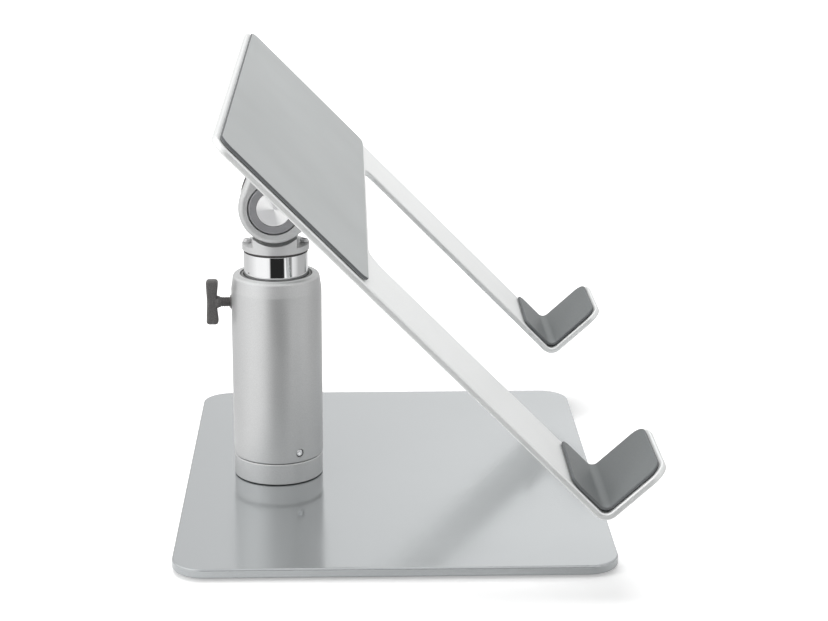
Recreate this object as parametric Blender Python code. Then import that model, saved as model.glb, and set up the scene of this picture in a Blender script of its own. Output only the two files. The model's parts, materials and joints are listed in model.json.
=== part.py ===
"""Laptop stand: a steel base plate, a swivelling column with a clamped sliding mast, and a tilting tray.

Every size below is in millimetres, and MM turns it into metres when a mesh is made.
The origin is on the desk, on the column's swivel axis. +Z is up and -Y points at the user.
"""
import math

import bmesh
import bpy
from mathutils import Vector

MM = 0.001
GAP = 0.3                      # clearance between neighbouring pieces
BREAK = 0.4                    # broken edge of a machined piece
THROUGH = 1.0                  # how far a cutter runs past the face it opens
ROUND = 48                     # facets round the large turned pieces
SMALL_ROUND = 16               # facets round screws, washers and holes
SHARP_ANGLE = math.radians(35)

# Base plate and what it stands on
FOOT_HEIGHT = 1.2
FOOT_RADIUS = 9.0
FOOT_INSET = 15.0              # from the plate's edges to a foot's centre
CENTRE_PAD_RADIUS = 30.0
PLATE_WIDTH = 250.0
PLATE_DEPTH = 200.0
PLATE_THICKNESS = 4.5
PLATE_BACK = 44.6              # from the column's axis to the back edge
PLATE_CORNER = 15.0
PLATE_EDGE = 0.9
PLATE_BOTTOM = FOOT_HEIGHT + GAP
PLATE_TOP = PLATE_BOTTOM + PLATE_THICKNESS

# Swivel at the column's foot
COLLAR_RADIUS = 21.8
COLLAR_BOTTOM = PLATE_TOP + GAP
COLLAR_TOP = PLATE_TOP + 10.75
COLLAR_RECESS_RADIUS = 16.0
COLLAR_RECESS_DEPTH = 1.6
SWIVEL_BOLT_RADIUS = 5.0
SWIVEL_HEAD_RADIUS = 9.0
SWIVEL_HEAD_HEIGHT = 2.0
THRUST_WASHER_RADIUS = 15.7
UPPER_WASHER_RADIUS = 10.0
UPPER_WASHER_THICKNESS = 1.5
SWIVEL_NUT_RADIUS = 9.8        # to the corners
SWIVEL_NUT_HEIGHT = 6.7
SWIVEL_BOLT_PROUD = 2.0        # thread showing over the nut
SWIVEL_SOCKET_RADIUS = 3.0
COLLAR_SCREW_COUNT = 3
COLLAR_SCREW_CIRCLE = 14.0
COLLAR_SCREW_RADIUS = 2.0
COLLAR_SCREW_HEAD = 4.0
COLLAR_SCREW_DEPTH = 6.7       # how far a screw reaches into the collar
COUNTERSINK = 2.2
COUNTERSINK_RIM = 0.3          # straight edge of a countersunk head
COLLAR_BOTTOM_EDGE = 0.5
COLLAR_TOP_EDGE = 0.8

# Column
COLUMN_RADIUS = 22.0
COLUMN_BORE = 17.6
COLUMN_BOTTOM = COLLAR_TOP + GAP
COLUMN_TOP = PLATE_TOP + 102.0
COLUMN_BOTTOM_EDGE = 0.6
TAPER_HEIGHT = 7.5             # the cone under the rounded shoulder
TAPER_RADIUS = 20.9
SHOULDER_RADIUS = 1.3
PLUG_BOTTOM = COLUMN_BOTTOM + GAP
PLUG_TOP = PLATE_TOP + 21.2
PLUG_SCREW_Z = PLATE_TOP + 15.8
PLUG_SCREW_ANGLE = math.radians(210)
PLUG_SCREW_RADIUS = 1.75
PLUG_SCREW_INNER = 13.0
SOCKET_RADIUS = 1.1
SOCKET_DEPTH = 1.5
BUSH_BOTTOM = PLATE_TOP + 92.0

# Clamp screw in the back of the column
CLAMP_Z = PLATE_TOP + 87.4
CLAMP_RADIUS = 2.5
CLAMP_TIP_RADIUS = 2.3
CLAMP_TIP_LENGTH = 2.1
INSERT_RADIUS = 3.4
INSERT_INNER_END = 17.9
INSERT_PROUD = 0.5
HEAD_START = 28.8              # from the column's axis to the bar's inner side
HEAD_END = 34.3
HEAD_LENGTH = 22.2
HEAD_THICKNESS = 5.2
HEAD_WAIST = 0.6
HEAD_WAIST_BEND = 3.0
HEAD_FLAT = 3.9                # half the straight middle of the bar's inner side
HEAD_EDGE = 1.0
HEAD_CORNER = 1.4

# Sliding mast and its saddle head
MAST_RADIUS = 15.6
MAST_BORE = 11.6
MAST_BOTTOM = PLATE_TOP + 32.0
MAST_TOP = PLATE_TOP + 114.1
MAST_CHAMFER = 0.4
GUIDE_RING_HEIGHT = 6.2
HEAD_BOTTOM = MAST_TOP + GAP
CAP_RADIUS = 16.3
SHOULDER_Z = PLATE_TOP + 117.2
BAND_HALF = 10.6               # half the raised band that carries the saddle
NECK_HALF = BAND_HALF - GAP    # the tongue's foot
BAND_TOP = PLATE_TOP + 122.7
SPIGOT_LENGTH = 12.4
SADDLE_RADIUS = 18.4
TONGUE_HALF = 6.6
KNUCKLE_RADIUS = 14.0
HEAD_SCREW_Y = 13.6
HEAD_SCREW_RADIUS = 1.25
HEAD_SCREW_HEAD = 2.0
HEAD_SCREW_HEIGHT = 1.5
HEAD_SCREW_DEPTH = 10.0

# Tilting hinge: places along X are measured from the stand's middle plane
HINGE_Z = PLATE_TOP + 137.8
TILT = math.radians(45.4)
BRACKET_RADIUS = 17.0
BRACKET_HALF = 19.0
BRACKET_EDGE = 2.5
BRACKET_FOOT_UP = 30.0         # how far the cheeks flare up the slope
BRACKET_FOOT_DOWN = 20.8
SLOT_HALF = 8.3
BRIDGE_THICKNESS = 4.0
RECESS_RADIUS = 12.7
RECESS_FLOOR = 15.7
NUT_RECESS_FLOOR = 12.0
RING_OUTER = 12.1
PIN_RADIUS = 6.0
PIN_HEAD_RADIUS = 8.3
PIN_FACE = 19.2
THREAD_RADIUS = 5.0
THREAD_END = 17.6
FRICTION_WASHER_RADIUS = 12.5
SPRING_OUTER = 8.2
SPRING_THICKNESS = 0.8
SPRING_DISH = 0.25

# Tray, in its own plane: s runs down the slope from the hinge, n is the height over the hinge's axis
TRAY_UNDERSIDE = 26.1
SHEET = 3.0
TRAY_HALF = 150.0
TRAY_UPPER_END = -56.2
WINDOW_START = 34.0
WINDOW_HALF = 93.0
FOLD_LINE = 179.0              # where the outer faces of the arm and the lip would meet
FOLD_ANGLE = math.radians(87.6)
FOLD_RADIUS = 3.5
FOLD_STEPS = 8
LIP_HEIGHT = 36.0
TRAY_CORNER = 8.0
WINDOW_CORNER = 9.0
LIP_CORNER = 8.5
SHEET_EDGE = 0.45
PAD_THICKNESS = 1.5
PAD_INSET = 2.0
PAD_LOWER_END = 31.0
PAD_CORNER = 5.0
PAD_EDGE = 0.3
PAD_FOLD_RADIUS = 5.0          # a hook pad bridges the fold with an easier bend
HOOK_PAD_START = 155.0
HOOK_PAD_INSET = 1.5
HOOK_PAD_CORNER = 5.0
BRACKET_SCREW_X = 13.65
BRACKET_SCREW_S = (-22.0, 14.0)
BRACKET_SCREW_RADIUS = 2.0
BRACKET_SCREW_HEAD = 3.8
BRACKET_SCREW_END = 12.0

# Colour, metallic value and roughness of each finish
FINISHES = {
    "silver_paint": ((0.60, 0.61, 0.61), 0.6, 0.35),
    "plate_silver": ((0.58, 0.60, 0.61), 0.7, 0.30),
    "tray_silver": ((0.72, 0.73, 0.72), 0.6, 0.40),
    "chrome": ((0.85, 0.86, 0.87), 1.0, 0.05),
    "turned_steel": ((0.75, 0.75, 0.76), 1.0, 0.25),
    "zinc_steel": ((0.55, 0.56, 0.58), 1.0, 0.35),
    "dark_steel": ((0.13, 0.13, 0.13), 0.8, 0.45),
    "grey_ring": ((0.28, 0.28, 0.29), 0.8, 0.40),
    "pad_rubber": ((0.40, 0.42, 0.42), 0.0, 0.75),
    "hook_rubber": ((0.13, 0.14, 0.14), 0.0, 0.60),
    "foot_rubber": ((0.05, 0.05, 0.05), 0.0, 0.80),
    "white_nylon": ((0.75, 0.75, 0.72), 0.0, 0.45),
    "grey_nylon": ((0.30, 0.30, 0.30), 0.0, 0.45),
}

AXIS_X = (0, math.pi / 2, 0)   # turns a piece made along +Z to lie along +X
AXIS_Y = (-math.pi / 2, 0, 0)  # turns a piece made along +Z to lie along +Y


def clear_scene():
    for item in list(bpy.data.objects):
        bpy.data.objects.remove(item, do_unlink=True)


def material_for(node, finish):
    colour, metallic, roughness = FINISHES[finish]
    material = bpy.data.materials.new(node + "_" + finish)
    material.use_nodes = True
    shader = material.node_tree.nodes["Principled BSDF"]
    shader.inputs["Base Color"].default_value = (*colour, 1.0)
    shader.inputs["Metallic"].default_value = metallic
    shader.inputs["Roughness"].default_value = roughness
    return material


def add_object(name, bm, parent=None, location=(0, 0, 0), rotation=(0, 0, 0)):
    """Turn a bmesh in millimetres, a closed body or a sheet that faces up, into an object in metres."""
    bmesh.ops.recalc_face_normals(bm, faces=bm.faces)
    bm.faces.ensure_lookup_table()
    is_sheet = any(edge.is_boundary for edge in bm.edges)
    if is_sheet and bm.faces[0].normal.z < 0:
        bmesh.ops.reverse_faces(bm, faces=bm.faces)
    bmesh.ops.scale(bm, vec=(MM, MM, MM), verts=bm.verts)
    mesh = bpy.data.meshes.new(name)
    bm.to_mesh(mesh)
    bm.free()
    mesh.shade_smooth()
    mesh.set_sharp_from_angle(angle=SHARP_ANGLE)
    item = bpy.data.objects.new(name, mesh)
    bpy.context.collection.objects.link(item)
    item.parent = parent
    item.location = Vector(location) * MM
    item.rotation_euler = rotation
    return item


def add_node(name, bm, finish, **place):
    item = add_object(name, bm, **place)
    item.data.materials.append(material_for(name, finish))
    return item


def add_axis(name, location, rotation=(0, 0, 0), parent=None):
    """An empty on a joint's axis, which carries the pieces that move about it."""
    axis = bpy.data.objects.new(name, None)
    bpy.context.collection.objects.link(axis)
    axis.parent = parent
    axis.location = Vector(location) * MM
    axis.rotation_euler = rotation
    return axis


def add_tool(name, bm, **place):
    """A cutter or a piece to be joined on: it isn't part of the stand."""
    tool = add_object(name, bm, **place)
    tool.hide_render = True
    tool.display_type = "WIRE"
    return tool


def combine(item, tool, operation="DIFFERENCE"):
    boolean = item.modifiers.new(tool.name, "BOOLEAN")
    boolean.operation = operation
    boolean.solver = "EXACT"
    boolean.object = tool


def round_edges(item, width, segments=2, by_weight=False):
    bevel = item.modifiers.new("edges", "BEVEL")
    bevel.width = width * MM
    bevel.segments = segments
    bevel.limit_method = "WEIGHT" if by_weight else "ANGLE"
    bevel.angle_limit = math.radians(50)
    bevel.use_clamp_overlap = True


def arc(centre, radius, start, end, steps):
    """Points from one angle to another, both ends included."""
    turn = (end - start) / steps
    return [
        (centre[0] + radius * math.cos(start + turn * i), centre[1] + radius * math.sin(start + turn * i))
        for i in range(steps + 1)
    ]


def rounded(corners, steps=6):
    """Outline through corners given as (x, y, radius), with an arc at each corner that has a radius."""
    outline = []
    for i, (x, y, radius) in enumerate(corners):
        here = Vector((x, y))
        if radius == 0:
            outline.append((x, y))
            continue
        back = (Vector(corners[i - 1][:2]) - here).normalized()
        ahead = (Vector(corners[(i + 1) % len(corners)][:2]) - here).normalized()
        half = back.angle(ahead) / 2
        middle = here + (back + ahead).normalized() * (radius / math.sin(half))
        first = here + back * (radius / math.tan(half)) - middle
        last = here + ahead * (radius / math.tan(half)) - middle
        sweep = first.angle_signed(last)
        start = math.atan2(first.y, first.x)
        outline += arc(middle, radius, start, start - sweep, steps)
    return outline


def prism(outline, low, high):
    """Extrude an outline in the XY plane from one height to another."""
    bm = bmesh.new()
    face = bm.faces.new([bm.verts.new((x, y, low)) for x, y in outline])
    extruded = bmesh.ops.extrude_face_region(bm, geom=[face])
    top = [item for item in extruded["geom"] if isinstance(item, bmesh.types.BMVert)]
    bmesh.ops.translate(bm, vec=(0, 0, high - low), verts=top)
    return bm


def turned(profile, facets=SMALL_ROUND, hollow=False):
    """Spin a profile of (radius, height) points about Z; a hollow profile is a closed loop."""
    bm = bmesh.new()
    rings = []
    for radius, height in profile:
        count = facets if radius > 0 else 1
        angles = [2 * math.pi * i / facets for i in range(count)]
        ring = [bm.verts.new((radius * math.cos(a), radius * math.sin(a), height)) for a in angles]
        rings.append(ring)
    pairs = list(zip(rings, rings[1:] + rings[:1]))
    if not hollow:
        pairs.pop()
    for first, second in pairs:
        for i in range(facets):
            j = (i + 1) % facets
            corners = [first[i % len(first)], first[j % len(first)]]
            corners += [second[j % len(second)], second[i % len(second)]]
            unique = list(dict.fromkeys(corners))
            if len(unique) > 2:
                bm.faces.new(unique)
    return bm


def ring_profile(inner, outer, low, high, edge=0.0):
    """Profile of a washer or bush, with chamfered outer edges if asked, for a hollow turned piece."""
    if edge == 0:
        return [(inner, low), (outer, low), (outer, high), (inner, high)]
    return [(inner, low), (outer - edge, low), (outer, low + edge), (outer, high - edge), (outer - edge, high),
            (inner, high)]


def rod(radius, low, high, edge=0.0):
    """Profile of a solid rod, with chamfered ends if asked."""
    return ring_profile(0, radius, low, high, edge)


def box(low, high):
    outline = [(low[0], low[1]), (high[0], low[1]), (high[0], high[1]), (low[0], high[1])]
    return prism(outline, low[2], high[2])


def hexagon(radius):
    return arc((0, 0), radius, 0, 5 * math.pi / 3, 5)


def screw_profile(head_radius, radius, head_z, end_z):
    """A countersunk screw whose flat head is at head_z and whose point is at end_z."""
    up = 1 if end_z > head_z else -1
    return [(0, head_z), (head_radius, head_z), (head_radius, head_z + COUNTERSINK_RIM * up),
            (radius, head_z + COUNTERSINK * up), (radius, end_z - BREAK * up), (radius - BREAK, end_z), (0, end_z)]


def sink_profile(head_radius, radius, head_z, end_z):
    """The hole for such a screw, with its clearance, starting proud of the surface at head_z."""
    up = 1 if end_z > head_z else -1
    outside = head_z - THROUGH * up
    return [(0, outside), (head_radius + GAP, outside), (head_radius + GAP, head_z + COUNTERSINK_RIM * up),
            (radius + GAP, head_z + COUNTERSINK * up), (radius + GAP, end_z), (0, end_z)]


def make_base_plate():
    front = PLATE_BACK - PLATE_DEPTH
    half = PLATE_WIDTH / 2
    corners = [(-half, front), (half, front), (half, PLATE_BACK), (-half, PLATE_BACK)]
    outline = rounded([(x, y, PLATE_CORNER) for x, y in corners], steps=8)
    plate = add_node("base_plate", prism(outline, PLATE_BOTTOM, PLATE_TOP), "plate_silver")
    round_edges(plate, PLATE_EDGE)
    recess_top = PLATE_BOTTOM + GAP + SWIVEL_HEAD_HEIGHT + GAP
    hole = SWIVEL_BOLT_RADIUS + GAP
    recess = SWIVEL_HEAD_RADIUS + GAP
    over = PLATE_TOP + THROUGH
    profile = [(0, 0), (recess, 0), (recess, recess_top), (hole, recess_top), (hole, over), (0, over)]
    combine(plate, add_tool("swivel_bolt_hole", turned(profile)))
    for number, place in enumerate(collar_screw_places(), 1):
        sink = sink_profile(COLLAR_SCREW_HEAD, COLLAR_SCREW_RADIUS, PLATE_BOTTOM + GAP, over)
        combine(plate, add_tool(f"plate_screw_hole_{number}", turned(sink), location=place))


def collar_screw_places():
    angles = [math.pi / 2 + 2 * math.pi * i / COLLAR_SCREW_COUNT for i in range(COLLAR_SCREW_COUNT)]
    return [(COLLAR_SCREW_CIRCLE * math.cos(a), COLLAR_SCREW_CIRCLE * math.sin(a), 0) for a in angles]


def make_feet():
    back = PLATE_BACK - FOOT_INSET
    front = PLATE_BACK - PLATE_DEPTH + FOOT_INSET
    side = PLATE_WIDTH / 2 - FOOT_INSET
    for depth_name, y in (("front", front), ("rear", back)):
        for side_name, x in (("left", -side), ("right", side)):
            foot = turned(rod(FOOT_RADIUS, 0, FOOT_HEIGHT, PAD_EDGE))
            add_node(f"foot_{depth_name}_{side_name}", foot, "foot_rubber", location=(x, y, 0))
    pad = turned(rod(CENTRE_PAD_RADIUS, 0, FOOT_HEIGHT, PAD_EDGE), ROUND)
    add_node("centre_pad", pad, "foot_rubber")


def make_swivel():
    hole = SWIVEL_BOLT_RADIUS + GAP
    floor = COLLAR_TOP - COLLAR_RECESS_DEPTH
    profile = [(hole, COLLAR_BOTTOM), (COLLAR_RADIUS - COLLAR_BOTTOM_EDGE, COLLAR_BOTTOM),
               (COLLAR_RADIUS, COLLAR_BOTTOM + COLLAR_BOTTOM_EDGE), (COLLAR_RADIUS, COLLAR_TOP - COLLAR_TOP_EDGE),
               (COLLAR_RADIUS - COLLAR_TOP_EDGE, COLLAR_TOP), (COLLAR_RECESS_RADIUS, COLLAR_TOP),
               (COLLAR_RECESS_RADIUS, floor), (hole, floor)]
    collar = add_node("swivel_collar", turned(profile, ROUND, hollow=True), "silver_paint")
    screw_end = COLLAR_BOTTOM + COLLAR_SCREW_DEPTH
    for number, place in enumerate(collar_screw_places(), 1):
        hole_bm = turned(rod(COLLAR_SCREW_RADIUS + GAP, PLATE_TOP, screw_end + GAP))
        combine(collar, add_tool(f"collar_screw_hole_{number}", hole_bm, location=place))
        screw = screw_profile(COLLAR_SCREW_HEAD, COLLAR_SCREW_RADIUS, PLATE_BOTTOM + GAP, screw_end)
        item = add_node(f"collar_screw_{number}", turned(screw), "zinc_steel", location=place)
        add_socket(item, PLATE_BOTTOM + GAP, 1, place)

    washer = ring_profile(hole, THRUST_WASHER_RADIUS, floor + GAP, COLUMN_BOTTOM)
    add_node("thrust_washer", turned(washer, ROUND, hollow=True), "white_nylon")
    upper_low = PLUG_TOP + GAP
    upper_high = upper_low + UPPER_WASHER_THICKNESS
    upper = ring_profile(hole, UPPER_WASHER_RADIUS, upper_low, upper_high)
    add_node("upper_washer", turned(upper, hollow=True), "zinc_steel")

    nut_low = upper_high + GAP
    nut_high = nut_low + SWIVEL_NUT_HEIGHT
    nut = add_node("swivel_nut", prism(hexagon(SWIVEL_NUT_RADIUS), nut_low, nut_high), "zinc_steel")
    combine(nut, add_tool("swivel_nut_hole", turned(rod(hole, nut_low - THROUGH, nut_high + THROUGH))))
    head_low = PLATE_BOTTOM + GAP
    head_high = head_low + SWIVEL_HEAD_HEIGHT
    bolt_end = nut_high + SWIVEL_BOLT_PROUD
    bolt = [(0, head_low), (SWIVEL_HEAD_RADIUS - BREAK, head_low), (SWIVEL_HEAD_RADIUS, head_low + BREAK),
            (SWIVEL_HEAD_RADIUS, head_high), (SWIVEL_BOLT_RADIUS, head_high),
            (SWIVEL_BOLT_RADIUS, bolt_end - BREAK), (SWIVEL_BOLT_RADIUS - BREAK, bolt_end), (0, bolt_end)]
    item = add_node("swivel_bolt", turned(bolt), "zinc_steel")
    socket = prism(hexagon(SWIVEL_SOCKET_RADIUS), 0, head_high + THROUGH)
    combine(item, add_tool("swivel_bolt_socket", socket))


def add_socket(screw, face, direction, place, parent=None):
    """Cut a hexagon socket into a screw's flat face; direction is the way into the metal along Z."""
    ends = sorted((face - THROUGH * direction, face + SOCKET_DEPTH * direction))
    tool = add_tool(screw.name + "_socket", prism(hexagon(SOCKET_RADIUS), *ends), location=place, parent=parent)
    combine(screw, tool)


def make_column(axis):
    straight_top = COLUMN_TOP - TAPER_HEIGHT
    shoulder = arc((TAPER_RADIUS - SHOULDER_RADIUS, COLUMN_TOP - SHOULDER_RADIUS), SHOULDER_RADIUS, 0,
                   math.pi / 2, 4)
    profile = [(COLUMN_BORE, COLUMN_BOTTOM), (COLUMN_RADIUS - COLUMN_BOTTOM_EDGE, COLUMN_BOTTOM),
               (COLUMN_RADIUS, COLUMN_BOTTOM + COLUMN_BOTTOM_EDGE), (COLUMN_RADIUS, straight_top),
               *shoulder, (COLUMN_BORE, COLUMN_TOP)]
    tube = add_node("column_tube", turned(profile, ROUND, hollow=True), "silver_paint", parent=axis)
    clamp_hole = turned(rod(INSERT_RADIUS + GAP, COLUMN_BORE - THROUGH, COLUMN_RADIUS + THROUGH))
    combine(tube, add_tool("clamp_hole", clamp_hole, location=(0, 0, CLAMP_Z), rotation=AXIS_Y))

    plug_profile = ring_profile(SWIVEL_BOLT_RADIUS + GAP, COLUMN_BORE - GAP, PLUG_BOTTOM, PLUG_TOP, BREAK)
    plug = add_node("column_plug", turned(plug_profile, ROUND, hollow=True), "zinc_steel", parent=axis)
    radial = {"location": (0, 0, PLUG_SCREW_Z), "rotation": (0, math.pi / 2, PLUG_SCREW_ANGLE)}
    hole = turned(rod(PLUG_SCREW_RADIUS + GAP, PLUG_SCREW_INNER - GAP, COLUMN_RADIUS + THROUGH))
    hole_tool = add_tool("plug_screw_hole", hole, **radial)
    combine(tube, hole_tool)
    combine(plug, hole_tool)
    outer_end = COLUMN_RADIUS - GAP
    screw_bm = turned(rod(PLUG_SCREW_RADIUS, PLUG_SCREW_INNER, outer_end, BREAK))
    screw = add_node("plug_set_screw", screw_bm, "turned_steel", parent=axis, **radial)
    socket = prism(hexagon(SOCKET_RADIUS), outer_end - SOCKET_DEPTH, outer_end + THROUGH)
    combine(screw, add_tool("plug_set_screw_socket", socket, **radial))

    bush = ring_profile(MAST_RADIUS + GAP, COLUMN_BORE - GAP, BUSH_BOTTOM, COLUMN_TOP - GAP, BREAK)
    add_node("guide_bush", turned(bush, ROUND, hollow=True), "grey_nylon", parent=axis)
    insert = ring_profile(CLAMP_RADIUS + GAP, INSERT_RADIUS, INSERT_INNER_END, COLUMN_RADIUS + INSERT_PROUD)
    add_node("clamp_insert", turned(insert, hollow=True), "dark_steel", parent=axis, location=(0, 0, CLAMP_Z),
             rotation=AXIS_Y)


def make_clamp(axis):
    """The clamp screw, on an axis empty in the middle of the column that points out of its back."""
    tip_start = MAST_RADIUS + GAP
    tip_end = tip_start + CLAMP_TIP_LENGTH
    tip = turned(rod(CLAMP_TIP_RADIUS, tip_start, tip_end, BREAK))
    add_node("clamp_tip", tip, "white_nylon", parent=axis, rotation=AXIS_Y)

    shank = turned(rod(CLAMP_RADIUS, tip_end + GAP, (HEAD_START + HEAD_END) / 2, BREAK))
    screw = add_node("thumb_screw", shank, "dark_steel", parent=axis, rotation=AXIS_Y)
    half = HEAD_LENGTH / 2
    outline = rounded([
        (-half, HEAD_START - HEAD_WAIST, HEAD_CORNER), (-HEAD_FLAT, HEAD_START, HEAD_WAIST_BEND),
        (HEAD_FLAT, HEAD_START, HEAD_WAIST_BEND),
        (half, HEAD_START - HEAD_WAIST, HEAD_CORNER), (half, HEAD_END, HEAD_CORNER),
        (-half, HEAD_END, HEAD_CORNER)], steps=5)
    bar = add_tool("thumb_screw_bar", prism(outline, -HEAD_THICKNESS / 2, HEAD_THICKNESS / 2), parent=axis,
                   rotation=(0, -math.pi / 2, 0))
    round_edges(bar, HEAD_EDGE, segments=3)
    combine(screw, bar, "UNION")


def make_mast(axis):
    profile = [(MAST_BORE, MAST_BOTTOM), (MAST_RADIUS - MAST_CHAMFER, MAST_BOTTOM),
               (MAST_RADIUS, MAST_BOTTOM + MAST_CHAMFER), (MAST_RADIUS, MAST_TOP - MAST_CHAMFER),
               (MAST_RADIUS - MAST_CHAMFER, MAST_TOP), (MAST_BORE, MAST_TOP)]
    mast = add_node("mast_tube", turned(profile, ROUND, hollow=True), "chrome", parent=axis)
    ring_low = MAST_BOTTOM + GAP
    ring = ring_profile(MAST_RADIUS + GAP, COLUMN_BORE - GAP, ring_low, ring_low + GUIDE_RING_HEIGHT)
    add_node("mast_guide_ring", turned(ring, ROUND, hollow=True), "white_nylon", parent=axis)
    head = make_saddle_head(axis)

    seat = SHOULDER_Z + GAP
    low = MAST_TOP - HEAD_SCREW_DEPTH
    for name, y in (("front", -HEAD_SCREW_Y), ("rear", HEAD_SCREW_Y)):
        place = (0, y, 0)
        hole = turned(rod(HEAD_SCREW_RADIUS + GAP, low - GAP, BAND_TOP))
        tool = add_tool(f"head_screw_hole_{name}", hole, location=place)
        combine(mast, tool)
        combine(head, tool)
        top = seat + HEAD_SCREW_HEIGHT
        profile = [(0, low), (HEAD_SCREW_RADIUS - BREAK, low), (HEAD_SCREW_RADIUS, low + BREAK),
                   (HEAD_SCREW_RADIUS, seat), (HEAD_SCREW_HEAD, seat), (HEAD_SCREW_HEAD, top - BREAK),
                   (HEAD_SCREW_HEAD - BREAK, top), (0, top)]
        screw = add_node(f"head_screw_{name}", turned(profile), "turned_steel", parent=axis, location=place)
        add_socket(screw, top, -1, place)


def make_saddle_head(axis):
    spigot = MAST_BORE - GAP
    low = HEAD_BOTTOM - SPIGOT_LENGTH
    profile = [(0, low), (spigot - BREAK, low), (spigot, low + BREAK), (spigot, HEAD_BOTTOM),
               (CAP_RADIUS - BREAK, HEAD_BOTTOM), (CAP_RADIUS, HEAD_BOTTOM + BREAK), (CAP_RADIUS, BAND_TOP),
               (0, BAND_TOP)]
    head = add_node("saddle_head", turned(profile, ROUND), "silver_paint", parent=axis)
    far = 2 * CAP_RADIUS
    for name, near, outer in (("front", -far, -BAND_HALF), ("rear", BAND_HALF, far)):
        combine(head, add_tool(f"shoulder_cutter_{name}", box((-far, near, SHOULDER_Z), (far, outer, HINGE_Z))))
    saddle = turned(rod(SADDLE_RADIUS, -far, far), ROUND)
    combine(head, add_tool("saddle_cutter", saddle, location=(0, 0, HINGE_Z), rotation=AXIS_X))

    neck_low = SHOULDER_Z - HINGE_Z
    start = -math.asin(NECK_HALF / KNUCKLE_RADIUS)
    knuckle = arc((0, 0), KNUCKLE_RADIUS, start, math.pi - start, 24)
    outline = [(-NECK_HALF, neck_low), (NECK_HALF, neck_low), *knuckle]
    tongue = prism(outline, -TONGUE_HALF, TONGUE_HALF)
    tongue_tool = add_tool("tongue", tongue, location=(0, 0, HINGE_Z), rotation=(math.pi / 2, 0, math.pi / 2))
    combine(head, tongue_tool, "UNION")
    pin_hole = turned(rod(PIN_RADIUS + GAP, -far, far))
    combine(head, add_tool("tongue_hole", pin_hole, location=(0, 0, HINGE_Z), rotation=AXIS_X))
    return head


def tangent_angle(s, n):
    """Angle, seen from the hinge's axis, at which the line from (s, n) touches the cheek's round end."""
    away = math.hypot(s, n)
    lean = math.acos(BRACKET_RADIUS / away)
    return math.atan2(n, s) + (lean if s < 0 else -lean)


def make_bracket(axis):
    """Cheek outline in (-s, n): x runs up the slope and y is the height over the hinge's axis."""
    top = TRAY_UNDERSIDE - GAP
    start = tangent_angle(-BRACKET_FOOT_UP, top)
    end = tangent_angle(BRACKET_FOOT_DOWN, top) + 2 * math.pi
    round_end = arc((0, 0), BRACKET_RADIUS, start, end, 26)
    outline = [(-s, n) for s, n in round_end + [(BRACKET_FOOT_DOWN, top), (-BRACKET_FOOT_UP, top)]]
    bm = prism(outline, -BRACKET_HALF, BRACKET_HALF)
    weights = bm.edges.layers.float.new("bevel_weight_edge")
    for edge in bm.edges:
        across = abs(edge.verts[0].co.z - edge.verts[1].co.z) > 1
        on_top = all(vert.co.y > top - 0.01 for vert in edge.verts)
        edge[weights] = 0.0 if across or on_top else 1.0
    bracket = add_node("tilt_bracket", bm, "silver_paint", parent=axis, rotation=(math.pi / 2, 0, math.pi / 2))
    round_edges(bracket, BRACKET_EDGE, segments=3, by_weight=True)

    beyond = 2 * BRACKET_FOOT_UP
    slot = box((-SLOT_HALF, -beyond, -beyond), (SLOT_HALF, beyond, top - BRIDGE_THICKNESS))
    combine(bracket, add_tool("bracket_slot", slot, parent=axis))
    far = BRACKET_HALF + THROUGH
    pin_hole = turned(rod(PIN_RADIUS + GAP, -far, far))
    combine(bracket, add_tool("bracket_pin_hole", pin_hole, parent=axis, rotation=AXIS_X))
    nut_hole = turned(rod(PIN_HEAD_RADIUS + GAP, NUT_RECESS_FLOOR, far))
    combine(bracket, add_tool("bracket_nut_hole", nut_hole, parent=axis, rotation=AXIS_X))
    for name, low, high in (("left", -far, -RECESS_FLOOR), ("right", RECESS_FLOOR, far)):
        recess = turned(rod(RECESS_RADIUS, low, high), ROUND)
        combine(bracket, add_tool(f"bracket_recess_{name}", recess, parent=axis, rotation=AXIS_X))


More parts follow.
